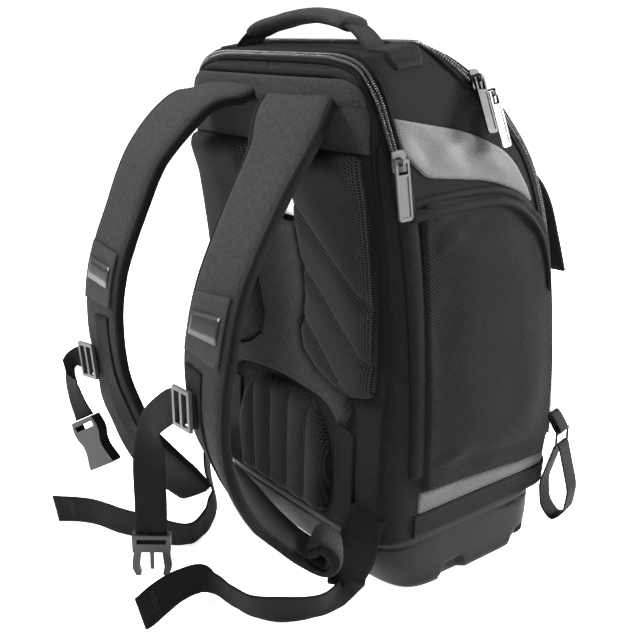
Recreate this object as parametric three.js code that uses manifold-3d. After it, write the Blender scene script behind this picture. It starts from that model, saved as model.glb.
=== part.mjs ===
import * as THREE from 'three';
import { mergeVertices } from 'three/addons/utils/BufferGeometryUtils.js';
import Module from 'manifold-3d';

const wasm = await Module();
wasm.setup();

// Clearances and cloth, in millimetres
const gap = 0.3;
const bodyWall = 3;
const dividerWall = 2.4;
const clothPly = 1.6;
const webbingPly = 1.6;
const seam = 0.6;

// Main body: +X is the wearer's right as seen from the straps, -Y the straps' side, +Z up
const bodyHeight = 484;
const bodyHalfWidth = 147;
const backReach = 121;
const frontReach = 128;
const spineRecess = 4;
const cornerSquareness = 9;
const cornerWeight = 70;
const crownRise = 3;
const crownDrop = 25;
const sideGusset = 20;

// Moulded base
const baseHeight = 62;
const baseWall = 3.5;
const baseInset = 3;
const footInset = 3;
const baseLean = 27;
const notchHeight = 17;
const notchDepth = 12;

// Webbing band above the base and the grey strip above that
const bandHeight = 24;
const bandPly = 2;
const stripHeight = 22;

// Laptop compartment: the sheet where its zip divides the body
const dividerFoot = -69;
const dividerSweep = 39;
const dividerCurl = 2.8;

// Side panels
const silverDrop = 28;
const silverSlope = 35;
const silverPly = 0.9;
const pocketBulge = 11;
const pocketWall = 2;
const pocketDrop = 30;
const pocketFoot = 110;
const pocketPoints = 22;

// Back panel
const backHalfWidth = bodyHalfWidth - sideGusset;
const backTop = bodyHeight - crownDrop;
const silverTopBack = backTop - silverDrop;
const silverTopFront = silverTopBack - silverSlope;
const pocketTop = silverTopFront - pocketDrop;
const backCornerRound = 42;
const pipingWidth = 4.5;
const pipingRise = 3;
const yokeHeight = 55;
const yokeFoot = backTop - yokeHeight;
const spineRecessTop = yokeFoot - 6;
const yokePly = 3.4;
const padThickness = 15;
const padChannelDepth = 5;
const padChannelWidth = 5;
const padChannels = 3;
const padChannelStep = 52;
const padChannelSlope = 0.95;
const lumbarRibs = 5;
const lumbarThickness = 15;
const sleeveTop = 338;
const sleevePly = 2.2;
const sleeveRise = 11;
const sleeveHalfWaist = 28;

// Shoulder straps
const strapThickness = 13;
const strapFlat = 0.8;
const stripWidth = 25;
const patchWidth = 50;

// Webbing tails, sternum strap and buckles
const tailWidth = 34;
const sternumWidth = 28;
const wireDiameter = 3.2;
const glideWidth = 34;
const glideHeight = 25;
const buckleWidth = 34;
const buckleDepth = 8;
const tailPly = 2;

// Carry handle
const handleY = -72;
const gripWidth = 31;
const gripThickness = 13;
const handleWebbingWidth = 24;
const handlePly = 2.4;

// Zips, sliders and pull tabs
const chainWidth = 10;
const chainRise = 2.4;
const zipFoot = 114;
const sliderWidth = 13;
const sliderLength = 17;
const sliderPlate = 1.6;
const tabWidth = 13;
const tabLength = 46;
const tabThickness = 2;
const tabBar = 2.2;
const tabWindow = 10;
const tabRail = 2;

// Front
const panelRise = 7;
const ringWire = 2.6;
const loopWidth = 22;
const loopReach = 82;
const loopSpread = 30;
const ringDrop = 13;
const keeperReach = 27;
const keeperLean = 33;

// Body sections from the base's rim to the crown. A rise is a share of the height between them, a reach
// or half width a share of the named size above, and a section leans where its front rise differs from
// its back rise. The last column says how far behind the front the main zip runs.
const bodyFoot = baseHeight + gap;
const riseTo = (share) => THREE.MathUtils.lerp(bodyFoot, bodyHeight, share);
const bodySections = [
  { backRise: 0, frontRise: 0, back: 0.86, front: 1.0, half: 0.965, square: 1, zip: 0.1 },
  { backRise: 0.061, frontRise: 0.061, back: 0.868, front: 1.0, half: 0.98, square: 1, zip: 0.1 },
  { backRise: 0.146, frontRise: 0.142, back: 0.868, front: 1.02, half: 0.992, square: 1, zip: 0.11 },
  { backRise: 0.268, frontRise: 0.254, back: 0.85, front: 0.99, half: 1, square: 1, zip: 0.12 },
  { backRise: 0.397, frontRise: 0.378, back: 0.826, front: 0.945, half: 1, square: 1, zip: 0.13 },
  { backRise: 0.528, frontRise: 0.497, back: 0.835, front: 0.9, half: 0.997, square: 0.96, zip: 0.14 },
  { backRise: 0.635, frontRise: 0.604, back: 0.876, front: 0.845, half: 0.988, square: 0.92, zip: 0.15 },
  { backRise: 0.73, frontRise: 0.696, back: 0.926, front: 0.76, half: 0.972, square: 0.88, zip: 0.15 },
  { backRise: 0.808, frontRise: 0.78, back: 0.97, front: 0.63, half: 0.95, square: 0.82, zip: 0.15 },
  { backRise: 0.867, frontRise: 0.854, back: 0.99, front: 0.455, half: 0.92, square: 0.76, zip: 0.17 },
  { backRise: 0.909, frontRise: 0.922, back: 1, front: 0.22, half: 0.895, square: 0.72, zip: 0.2 },
  { backRise: 0.946, frontRise: 0.975, back: 0.972, front: -0.08, half: 0.86, square: 0.64, zip: 0.15 },
  { backRise: 0.977, frontRise: 1.005, back: 0.9, front: -0.32, half: 0.8, square: 0.56, zip: 0.055 },
];
const loopPoints = 32;

// Soft folds in the side panels: places and sizes are shares of the body's height and half width
const sideFolds = [
  { y: -0.2, rise: 0.84, tall: 0.034, long: 0.5, depth: 1.6 },
  { y: 0.32, rise: 0.564, tall: 0.115, long: 0.14, depth: 1.8 },
  { y: -0.05, rise: 0.082, tall: 0.034, long: 0.6, depth: 1.8 },
];

// Turns a triangle list into a solid, whichever way its faces were listed
function solidFrom(positions, triangles) {
  let volume = 0;
  const a = new THREE.Vector3();
  const b = new THREE.Vector3();
  const c = new THREE.Vector3();
  for (let i = 0; i < triangles.length; i += 3) {
    a.fromArray(positions, triangles[i] * 3);
    b.fromArray(positions, triangles[i + 1] * 3);
    c.fromArray(positions, triangles[i + 2] * 3);
    volume += a.dot(b.cross(c));
  }
  const listed = volume < 0 ? triangles.slice().reverse() : triangles;
  return new wasm.Manifold(new wasm.Mesh({
    numProp: 3,
    vertProperties: new Float32Array(positions),
    triVerts: new Uint32Array(listed),
  }));
}

function solidOf(geometry) {
  const bare = geometry.clone();
  bare.deleteAttribute('normal');
  bare.deleteAttribute('uv');
  const welded = mergeVertices(bare, 1e-4);
  return solidFrom(Array.from(welded.attributes.position.array), Array.from(welded.index.array));
}

function geometryOf(solid) {
  const mesh = solid.getMesh();
  const geometry = new THREE.BufferGeometry();
  geometry.setAttribute('position', new THREE.BufferAttribute(new Float32Array(mesh.vertProperties), 3));
  geometry.setIndex(Array.from(mesh.triVerts));
  geometry.computeVertexNormals();
  return geometry;
}

// Joins rings of equally many points into a closed solid with a fan over each end. Its two halves
// are split the mirrored way, so that a mirrored piece fits the other side.
function loft(rings) {
  const count = rings[0].length;
  const positions = [];
  const triangles = [];
  for (const ring of rings) {
    for (const point of ring) positions.push(point.x, point.y, point.z);
  }
  for (let r = 0; r < rings.length - 1; r += 1) {
    for (let i = 0; i < count; i += 1) {
      const here = r * count + i;
      const beside = r * count + (i + 1) % count;
      if (i < count / 2) triangles.push(here, beside, here + count, beside, beside + count, here + count);
      else triangles.push(here, beside, beside + count, here, beside + count, here + count);
    }
  }
  for (const end of [0, rings.length - 1]) {
    const centre = new THREE.Vector3();
    for (const point of rings[end]) centre.addScaledVector(point, 1 / count);
    const hub = positions.length / 3;
    positions.push(centre.x, centre.y, centre.z);
    for (let i = 0; i < count; i += 1) {
      const here = end * count + i;
      const beside = end * count + (i + 1) % count;
      if (end === 0) triangles.push(beside, here, hub);
      else triangles.push(here, beside, hub);
    }
  }
  return solidFrom(positions, triangles);
}

// A rounded rectangle as a closed run of points that gather at its corners, from the middle of the back
function roundedLoop(half, back, front, squareness, count) {
  const fine = 360;
  const middle = (front - back) / 2;
  const reach = (front + back) / 2;
  const power = 2 / squareness;
  const track = [];
  for (let i = 0; i <= fine; i += 1) {
    const angle = -Math.PI / 2 + (i / fine) * 2 * Math.PI;
    const c = Math.cos(angle);
    const s = Math.sin(angle);
    track.push(new THREE.Vector2(
      half * Math.sign(c) * Math.abs(c) ** power,
      middle + reach * Math.sign(s) * Math.abs(s) ** power,
    ));
  }
  const lengths = [0];
  for (let i = 1; i <= fine; i += 1) {
    const step = new THREE.Vector2().subVectors(track[i], track[i - 1]);
    const next = new THREE.Vector2().subVectors(track[i % fine + 1], track[i % fine]);
    const turn = Math.abs(Math.atan2(step.cross(next), step.dot(next)));
    lengths.push(lengths[i - 1] + step.length() + turn * cornerWeight);
  }
  const points = [];
  let step = 0;
  for (let i = 0; i < count; i += 1) {
    const target = (i / count) * lengths[fine];
    while (lengths[step + 1] < target) step += 1;
    const share = (target - lengths[step]) / (lengths[step + 1] - lengths[step]);
    points.push(track[step].clone().lerp(track[step + 1], share));
  }
  return points;
}

// Eases from 0 at one value to 1 at another, whichever of the two is the larger
const smooth = (none, full, value) => (
  none < full
    ? THREE.MathUtils.smoothstep(value, none, full)
    : 1 - THREE.MathUtils.smoothstep(value, full, none)
);
const bump = (value) => Math.exp(-value * value);

// The body's outer surface as a grid of points with normals, one ring a section
function bodyRings() {
  const rings = bodySections.map((section) => {
    const back = section.back * backReach;
    const front = section.front * frontReach;
    const half = section.half * bodyHalfWidth;
    const loop = roundedLoop(half, back, front, cornerSquareness * section.square, loopPoints);
    return loop.map((point) => {
      const share = (point.y + back) / (front + back);
      const z = riseTo(THREE.MathUtils.lerp(section.backRise, section.frontRise, share));
      const flank = smooth(0.97, 0.8, Math.abs(point.x) / half) * smooth(0.16, 0.02, share);
      const recess = spineRecess * flank * smooth(spineRecessTop, spineRecessTop - 34, z)
        * smooth(baseHeight, baseHeight + 24, z);
      const climb = (z - bodyFoot) / (bodyHeight - bodyFoot);
      let fold = 0;
      for (const row of sideFolds) {
        fold += row.depth * bump((climb - row.rise) / row.tall)
          * bump((point.y / bodyHalfWidth - row.y) / row.long);
      }
      const side = smooth(0.86, 0.97, Math.abs(point.x) / half);
      return new THREE.Vector3(point.x - Math.sign(point.x) * fold * side, point.y + recess, z);
    });
  });
  return rings;
}

function normalsOf(rings) {
  const across = new THREE.Vector3();
  const along = new THREE.Vector3();
  return rings.map((ring, r) => ring.map((point, i) => {
    const below = rings[Math.max(r - 1, 0)][i];
    const above = rings[Math.min(r + 1, rings.length - 1)][i];
    across.subVectors(ring[(i + 1) % ring.length], ring[(i + ring.length - 1) % ring.length]);
    along.subVectors(above, below);
    const normal = new THREE.Vector3().crossVectors(across, along).normalize();
    if (r === 0) normal.setZ(0).normalize();
    return normal;
  }));
}

const outerRings = bodyRings();
const outerNormals = normalsOf(outerRings);

// The body moved out along its normals, and lengthened downwards where it is a cutter
function bodySolid(offset, drop = 0) {
  const rings = outerRings.map((ring, r) => ring.map((point, i) => (
    point.clone().addScaledVector(outerNormals[r][i], offset)
  )));
  const crownRing = rings[rings.length - 1];
  const middle = new THREE.Vector3();
  for (const point of outerRings[outerRings.length - 1]) middle.addScaledVector(point, 1 / crownRing.length);
  middle.z += crownRise + offset * 1.3;
  rings.push(crownRing.map((point) => point.clone().lerp(middle, 0.5).setZ((point.z + middle.z) / 2)));
  if (drop > 0) rings.unshift(rings[0].map((point) => point.clone().setZ(point.z - drop)));
  return loft(rings);
}

const bodies = new Map();
function body(offset, drop = 0) {
  const key = `${offset}/${drop}`;
  if (!bodies.has(key)) bodies.set(key, bodySolid(offset, drop));
  return bodies.get(key);
}

// A layer of cloth that follows the body, from one offset to another
const layer = (from, to) => body(to).subtract(body(from, 1));

// A prism over an outline: 'x' draws in (y, z), 'y' in (x, z) and 'z' in (x, y)
function prism(axis, shape, from, to) {
  const options = { depth: to - from, bevelEnabled: false, curveSegments: 4 };
  const geometry = new THREE.ExtrudeGeometry(shape, options);
  const bases = {
    x: [new THREE.Vector3(0, 1, 0), new THREE.Vector3(0, 0, 1), new THREE.Vector3(1, 0, 0)],
    y: [new THREE.Vector3(1, 0, 0), new THREE.Vector3(0, 0, 1), new THREE.Vector3(0, -1, 0)],
    z: [new THREE.Vector3(1, 0, 0), new THREE.Vector3(0, 1, 0), new THREE.Vector3(0, 0, 1)],
  };
  const matrix = new THREE.Matrix4().makeBasis(...bases[axis]);
  matrix.multiply(new THREE.Matrix4().makeTranslation(0, 0, axis === 'y' ? -to : from));
  geometry.applyMatrix4(matrix);
  return solidOf(geometry);
}

// An outline through corners [a, b, round], each corner rounded by its own size
function outline(corners) {
  const shape = new THREE.Shape();
  const count = corners.length;
  const at = (i) => new THREE.Vector2(corners[(i + count) % count][0], corners[(i + count) % count][1]);
  for (let i = 0; i < count; i += 1) {
    const corner = at(i);
    const before = at(i - 1).sub(corner);
    const after = at(i + 1).sub(corner);
    const round = Math.min(corners[i][2] ?? 0, before.length() * 0.49, after.length() * 0.49);
    const entry = corner.clone().addScaledVector(before.normalize(), round);
    const exit = corner.clone().addScaledVector(after.normalize(), round);
    if (i === 0) shape.moveTo(entry.x, entry.y);
    else shape.lineTo(entry.x, entry.y);
    if (round > 0) shape.quadraticCurveTo(corner.x, corner.y, exit.x, exit.y);
  }
  shape.closePath();
  return shape;
}

const box = (x0, x1, y0, y1, z0, z1) => {
  const geometry = new THREE.BoxGeometry(x1 - x0, y1 - y0, z1 - z0);
  geometry.translate((x0 + x1) / 2, (y0 + y1) / 2, (z0 + z1) / 2);
  return solidOf(geometry);
};

// Finds the body's surface along a ray, with its normal
const bodyMesh = new THREE.Mesh(geometryOf(body(0)), new THREE.MeshBasicMaterial());
const seeker = new THREE.Raycaster();
function onBody(origin, direction) {
  seeker.set(new THREE.Vector3(...origin), new THREE.Vector3(...direction));
  const hit = seeker.intersectObject(bodyMesh)[0];
  return { point: hit.point, normal: hit.face.normal.clone() };
}

const finishes = {
  heather: { color: 0x4b4b4d, roughness: 0.95, metalness: 0 },
  dobby: { color: 0x17171b, roughness: 0.9, metalness: 0 },
  mesh: { color: 0x22231f, roughness: 0.95, metalness: 0 },
  webbing: { color: 0x0f0f10, roughness: 0.9, metalness: 0 },
  silver_cloth: { color: 0x77787c, roughness: 0.7, metalness: 0.1 },
  moulded: { color: 0x38393b, roughness: 0.5, metalness: 0 },
  bright_metal: { color: 0xc4c4c2, roughness: 0.3, metalness: 1 },
  dark_metal: { color: 0x55565a, roughness: 0.35, metalness: 1 },
  hard_plastic: { color: 0x1b1b1c, roughness: 0.4, metalness: 0 },
  grey_plastic: { color: 0x6f6f6e, roughness: 0.4, metalness: 0 },
  label: { color: 0xe6e6e4, roughness: 0.7, metalness: 0 },
};
const materials = Object.fromEntries(Object.entries(finishes).map(([name, look]) => (
  [name, new THREE.MeshStandardMaterial(look)]
)));

const backpack = new THREE.Group();

function place(name, finish, solid) {
  const mesh = new THREE.Mesh(geometryOf(solid), materials[finish]);
  mesh.name = name;
  backpack.add(mesh);
  return mesh;
}

// Moulded base: an open tub with a groove under its rim and notches between its tread blocks
function baseTub() {
  const rimHalf = bodySections[0].half * bodyHalfWidth - baseInset;
  const rimBack = bodySections[0].back * backReach - baseInset;
  const rimFront = bodySections[0].front * frontReach - baseInset;
  const tubRows = [
    { rise: 0, inset: footInset }, { rise: 0.1, inset: footInset * 0.55 },
    { rise: 0.5, inset: footInset * 0.25 }, { rise: 0.78, inset: 1.2 }, { rise: 0.8, inset: 2.4 },
    { rise: 0.84, inset: 2.4 }, { rise: 0.86, inset: 0.6 }, { rise: 1, inset: 0 },
  ];
  const leanAt = (height) => baseLean * Math.max(1 - height / baseHeight, 0) ** 1.6;
  const ring = (height, inset) => {
    const lean = leanAt(height);
    const loop = roundedLoop(
       rimHalf - inset, rimBack - inset - lean, rimFront - inset - lean * 0.3,
      cornerSquareness * 0.7, loopPoints,
    );
    return loop.map((point) => new THREE.Vector3(point.x, point.y, height));
  };
  let tub = loft(tubRows.map((row) => ring(row.rise * baseHeight, row.inset)));
  const floorInset = footInset + notchDepth + baseWall;
  tub = tub.subtract(loft([
    ring(baseWall, floorInset), ring(notchHeight + baseWall, floorInset),
    ring(notchHeight + baseWall + 8, footInset * 0.3 + baseWall), ring(baseHeight + 1, baseWall),
  ]));
  const notch = (width) => outline([
    [-width / 2, -1], [width / 2, -1], [width * 0.3, notchHeight, 3], [-width * 0.3, notchHeight, 3],
  ]);
  const sideNotches = [{ at: -0.06, width: 34 }, { at: 0.7, width: 26 }];
  const endNotches = [{ at: -0.4, width: 32 }, { at: 0.4, width: 32 }];
  for (const row of sideNotches) {
    const cutter = prism('x', notch(row.width), rimHalf - footInset - 1, rimHalf + 9);
    const inner = cutter.translate([0, row.at * rimFront, 0]);
    tub = tub.subtract(inner).subtract(inner.mirror([1, 0, 0]));
  }
  for (const row of endNotches) {
    const cutter = prism('y', notch(row.width), -notchDepth, notchDepth);
    const notchBack = leanAt(notchHeight) + notchDepth - rimBack;
    tub = tub.subtract(cutter.translate([row.at * rimHalf, notchBack, 0]));
    tub = tub.subtract(cutter.translate([row.at * rimHalf, rimFront + notchDepth * 0.5 - baseLean * 0.3, 0]));
  }
  return tub;
}

place('base_tub', 'moulded', baseTub());

const rightOf = (solid) => solid;
const leftOf = (solid) => solid.mirror([1, 0, 0]);
const hands = [['right', rightOf], ['left', leftOf]];

// The sheet that divides the laptop compartment from the main one, as a row of (y, z) points
function dividerLine(shift) {
  const steps = 10;
  const line = [];
  for (let i = 0; i <= steps; i += 1) {
    const z = THREE.MathUtils.lerp(baseHeight, backTop + 4, i / steps);
    const climb = (z - baseHeight) / (backTop - baseHeight);
    line.push([dividerFoot - dividerSweep * climb ** dividerCurl + shift, z]);
  }
  return line;
}
const reachOut = bodyHalfWidth + 20;
function behindDivider(shift) {
  const line = dividerLine(shift);
  const crown = [line[line.length - 1][0], bodyHeight + 40];
  const far = -backReach - 60;
  const edge = [[line[0][0], 0], ...line, crown, [far, bodyHeight + 40], [far, 0]];
  return prism('x', outline(edge), -reachOut, reachOut);
}

function mainShell() {
  const outer = body(0);
  const inner = body(-bodyWall, 6);
  return outer.subtract(behindDivider(gap)).subtract(inner);
}

function laptopShell() {
  const outer = body(0).intersect(behindDivider(0));
  return outer.subtract(body(-bodyWall, 6).intersect(behindDivider(-dividerWall)));
}

place('main_shell', 'dobby', mainShell());
place('laptop_shell', 'heather', laptopShell());

// A band that follows a line of (y, z) points, right through the body from side to side
function bandAlong(line, width) {
  const points = line.map(([y, z]) => new THREE.Vector2(y, z));
  const near = [];
  const far = [];
  points.forEach((point, i) => {
    const before = points[Math.max(i - 1, 0)];
    const after = points[Math.min(i + 1, points.length - 1)];
    const way = new THREE.Vector2().subVectors(after, before).normalize();
    near.push([point.x - way.y * width / 2, point.y + way.x * width / 2]);
    far.unshift([point.x + way.y * width / 2, point.y - way.x * width / 2]);
  });
  return prism('x', outline([...near, ...far]), -reachOut, reachOut);
}

// Webbing band round the sides and front, above the base
const bandTop = baseHeight + bandHeight;
place('base_webbing', 'webbing', layer(gap, gap + bandPly).intersect(
  box(-reachOut, reachOut, dividerFoot, frontReach * 1.2, baseHeight + 0.8, bandTop),
));

// Zip chains: raised bands along their seams
const dividerRise = (z) => (z - baseHeight) / (backTop - baseHeight);
const dividerAt = (z) => dividerFoot - dividerSweep * dividerRise(z) ** dividerCurl;
const stripTop = bandTop + gap + stripHeight;
const laptopLine = dividerLine(0).filter(([, z]) => z > stripTop + 40);
laptopLine.push([laptopLine[laptopLine.length - 1][0], bodyHeight + 20]);
const laptopChain = layer(gap, gap + chainRise).intersect(bandAlong(laptopLine, chainWidth));
place('laptop_zip_chain', 'hard_plastic', laptopChain);

const mainLine = bodySections.map((section) => (
  [(section.front - section.zip) * frontReach, riseTo(section.frontRise)]
)).filter(([, z]) => z > zipFoot + 4);
mainLine.unshift([mainLine[0][0] - 1, zipFoot]);
mainLine.push([mainLine[mainLine.length - 1][0], bodyHeight + 30]);
const mainBand = bandAlong(mainLine, chainWidth);
place('main_zip_chain', 'hard_plastic', layer(gap, gap + chainRise).intersect(mainBand));

// Side panels, drawn in (y, z)
const chainClear = chainWidth / 2 + gap + 1;
const mainRoom = bandAlong(mainLine, chainWidth + gap * 2);
const sidePrism = (shape) => prism('x', shape, bodyHalfWidth * 0.6, reachOut);
const greyStrip = sidePrism(outline([
  [dividerAt(bandTop) + chainClear, bandTop + gap], [frontReach * 0.84, bandTop + gap],
  [frontReach * 0.86, bandTop + gap + stripHeight * 0.45], [dividerAt(bandTop) + chainClear, stripTop],
]));
const silverBand = sidePrism(outline([
  [dividerAt(silverTopBack) + chainClear, silverTopBack], [-12, silverTopBack - 15, 30],
  [34, silverTopFront, 20], [58, pocketTop - 2, 20], [64, pocketTop - 16, 4],
  [46, pocketTop - 4, 24], [10, pocketTop + 9, 30],
  [dividerAt(pocketTop) + chainClear + 16, pocketTop + 18, 6],
  [dividerAt(silverTopBack - 31) + chainClear, silverTopBack - 27],
]));

const pocketOutline = (shrink) => outline([
  [dividerFoot + chainClear + 1 + shrink, pocketFoot + shrink, 4],
  [frontReach * 0.8 - shrink, pocketFoot - 10 + shrink, 22],
  [frontReach * 0.79 - shrink, pocketTop * 0.62, 60],
  [frontReach * 0.65 - shrink, pocketTop - 26 - shrink, 34],
  [frontReach * 0.16, pocketTop - 2 - shrink, 50],
  [dividerAt(pocketTop) + chainClear + 8 + shrink, pocketTop - shrink, 14],
  [dividerAt(240) + chainClear + 1 + shrink, 240, 30],
]);

// A bulging slab over an outline: it stands proud of the body most in its middle
const bulgeRows = [
  { size: 1, out: 0.55 }, { size: 0.97, out: 0.78 }, { size: 0.84, out: 0.92 }, { size: 0.4, out: 1 },
];
function bulge(shape, rise) {
  const points = shape.getSpacedPoints(pocketPoints).slice(0, pocketPoints);
  const middle = new THREE.Vector2();
  for (const point of points) middle.addScaledVector(point, 1 / points.length);
  const rings = bulgeRows.map((row) => points.map((point) => {
    const y = middle.x + (point.x - middle.x) * row.size;
    const z = middle.y + (point.y - middle.y) * row.size;
    const sag = 1 + 0.25 * bump((z - pocketFoot - 60) / 70);
    const surface = onBody([reachOut, y, z], [-1, 0, 0]).point.x;
    return new THREE.Vector3(surface + rise * row.out * sag, y, z);
  }));
  rings.unshift(points.map((point) => new THREE.Vector3(bodyHalfWidth * 0.7, point.x, point.y)));
  return loft(rings);
}

// Side pocket: a bulging cloth dish, open towards the body
function sidePocket() {
  const outside = bulge(pocketOutline(0), pocketBulge);
  const inside = bulge(pocketOutline(pocketWall), pocketBulge - pocketWall);
  return outside.subtract(inside).subtract(body(gap + gap)).subtract(mainRoom);
}

for (const [hand, turn] of hands) {
  const silver = layer(gap, gap + silverPly).subtract(mainRoom);
  place(`grey_strip_${hand}`, 'silver_cloth', turn(silver.intersect(greyStrip)));
  place(`silver_band_${hand}`, 'silver_cloth', turn(silver.intersect(silverBand)));
  place(`side_pocket_${hand}`, 'dobby', turn(sidePocket()));
}

// Back panel, drawn in (x, z)
const backOutline = (grow) => outline([
  [-backHalfWidth - grow, baseHeight + 2 - grow], [backHalfWidth + grow, baseHeight + 2 - grow],
  [backHalfWidth + grow + 3, 230], [backHalfWidth + grow - 3, backTop + grow, backCornerRound],
  [-backHalfWidth - grow + 3, backTop + grow, backCornerRound], [-backHalfWidth - grow - 3, 230],
]);
const backPrism = (shape) => prism('y', shape, -backReach - 60, -backReach * 0.5);
place('back_piping', 'webbing', layer(gap, gap + pipingRise).intersect(
  backPrism(backOutline(gap + pipingWidth)).subtract(backPrism(backOutline(gap))),
).intersect(box(-reachOut, reachOut, -reachOut, 0, baseHeight + 1, bodyHeight))
  .subtract(bandAlong(laptopLine, chainWidth + gap * 4)));
place('back_yoke', 'heather', layer(gap, gap + yokePly).intersect(backPrism(backOutline(0)))
  .intersect(box(-reachOut, reachOut, -reachOut, -backReach * 0.5, yokeFoot, bodyHeight))
  .subtract(bandAlong(laptopLine, chainWidth + gap * 2)));

// Edge of the trolley sleeve from its hem down to the end of its leg, as x at each height
const sleeveEdge = [
  { z: sleeveTop, x: 30 }, { z: 275, x: 36 }, { z: 240, x: sleeveHalfWaist }, { z: 220, x: 33 },
  { z: 204, x: 54 }, { z: 190, x: 94 },
];
const edgeRow = (shift) => sleeveEdge.map((row) => [row.x + shift, row.z + (row.z < 210 ? shift : 0)]);

// Mesh pad beside the spine, cut by slanting channels
const padTop = yokeFoot - seam;
function meshPad() {
  const shape = outline([
    [backHalfWidth - 7, padTop, 3], [sleeveHalfWaist, padTop, 3], [sleeveHalfWaist + 2, 350, 12],
    ...edgeRow(seam * 2), [backHalfWidth - 6, 198, 8],
  ]);
  let pad = layer(gap, padThickness).intersect(backPrism(shape));
  const roof = body(padThickness - padChannelDepth);
  const from = sleeveHalfWaist - 6;
  const to = backHalfWidth + 4;
  for (let i = 0; i < padChannels; i += 1) {
    const start = padTop - 31 - i * padChannelStep;
    const foot = start - (to - from) * padChannelSlope;
    const channel = backPrism(outline([
      [from, start], [to, foot], [to, foot - padChannelWidth], [from, start - padChannelWidth],
    ]));
    pad = pad.subtract(channel.subtract(roof));
  }
  return pad;
}

// Lumbar pad with fanned ribs
const lumbarTop = 180;
const stripEdge = backHalfWidth - 26;
function lumbarPad() {
  const shape = outline([
    [-64, baseHeight + 6, 8], [64, baseHeight + 6, 8], [70, 130, 20], [52, 172, 26], [0, lumbarTop, 60],
    [-52, 172, 26], [-70, 130, 20],
  ]);
  let pad = layer(gap, lumbarThickness).intersect(backPrism(shape));
  const roof = body(lumbarThickness - padChannelDepth);
  for (let i = 1; i < lumbarRibs; i += 1) {
    const foot = THREE.MathUtils.lerp(-66, 66, i / lumbarRibs);
    const top = foot * 1.12;
    const half = padChannelWidth / 2;
    const channel = backPrism(outline([
      [foot - half, baseHeight], [foot + half, baseHeight],
      [top + half, lumbarTop + 6], [top - half, lumbarTop + 6],
    ]));
    pad = pad.subtract(channel.subtract(roof));
  }
  return pad;
}
place('lumbar_pad', 'mesh', lumbarPad());

// Sleeve for a trolley's handle: stretched over the spine channel, narrow at the waist,
// with legs that flare over the pads' feet. It is open at its top and behind.
function trolleySleeve() {
  const right = edgeRow(0);
  const leg = [[96, 178, 2], [88, 166, 2], [74, 178, 6], [56, lumbarTop + 3, 16], [0, lumbarTop + 8, 50]];
  const mirrored = [...right, ...leg.slice(0, -1)].map(([x, z, round]) => [-x, z, round]).reverse();
  const shape = outline([...right, ...leg, ...mirrored]);
  const core = outline([
    [sleeveHalfWaist - 6, sleeveTop + 5], [sleeveHalfWaist - 6, lumbarTop - 5],
    [-sleeveHalfWaist + 6, lumbarTop - 5], [-sleeveHalfWaist + 6, sleeveTop + 5],
  ]);
  const sheet = layer(gap, sleeveRise).intersect(backPrism(shape));
  return sheet.subtract(body(sleeveRise - sleevePly).intersect(backPrism(core)));
}
place('trolley_sleeve', 'heather', trolleySleeve());
place('back_label', 'label', layer(gap, gap + 0.8).intersect(backPrism(outline([
  [-24, sleeveTop + 2], [24, sleeveTop + 2], [22, sleeveTop + 55, 5], [-22, sleeveTop + 55, 5],
]))));

for (const [hand, turn] of hands) {
  place(`mesh_pad_${hand}`, 'mesh', turn(meshPad()));
  place(`lumbar_strip_${hand}`, 'webbing', turn(layer(gap, gap + 3).intersect(backPrism(outline([
    [stripEdge - stripWidth, baseHeight + 6], [stripEdge, baseHeight + 6], [stripEdge, lumbarTop - 22],
    [stripEdge - 9, lumbarTop - 19], [stripEdge - stripWidth, lumbarTop - 19],
  ])))));
}

// Frames along a band from a table: its centre line, its half width, and the way its width points,
// turned about the vertical and tipped from the level, in degrees
function bandFrames(table, steps) {
  const way = (row) => {
    const turn = THREE.MathUtils.degToRad(row.turn ?? 0);
    const tip = THREE.MathUtils.degToRad(row.tip ?? 0);
    return new THREE.Vector3(Math.cos(turn) * Math.cos(tip), Math.sin(turn) * Math.cos(tip), Math.sin(tip));
  };
  const route = new THREE.CatmullRomCurve3(table.map((row) => new THREE.Vector3(row.x, row.y, row.z)));
  const lean = new THREE.CatmullRomCurve3(table.map(way));
  return Array.from({ length: steps + 1 }, (_, i) => {
    const t = i / steps;
    const place = t * (table.length - 1);
    const row = Math.min(Math.floor(place), table.length - 2);
    const tangent = route.getTangent(t);
    const across = lean.getPoint(t);
    across.addScaledVector(tangent, -across.dot(tangent)).normalize();
    return {
      point: route.getPoint(t),
      tangent,
      across,
      out: new THREE.Vector3().crossVectors(tangent, across).normalize(),
      half: THREE.MathUtils.lerp(table[row].half, table[row + 1].half, place - row),
    };
  });
}

// Lofts a section given for each frame as points (across, out)
const sweep = (frames, sectionAt) => loft(frames.map((frame) => sectionAt(frame).map(([across, out]) => (
  frame.point.clone().addScaledVector(frame.across, across).addScaledVector(frame.out, out)
))));

// A flat ribbon on frames, moved across and lifted off them
const ribbon = (frames, width, ply, shift = 0, lift = -ply / 2) => sweep(frames, () => [
  [shift - width / 2, lift], [shift + width / 2, lift],
  [shift + width / 2, lift + ply], [shift - width / 2, lift + ply],
]);

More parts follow.
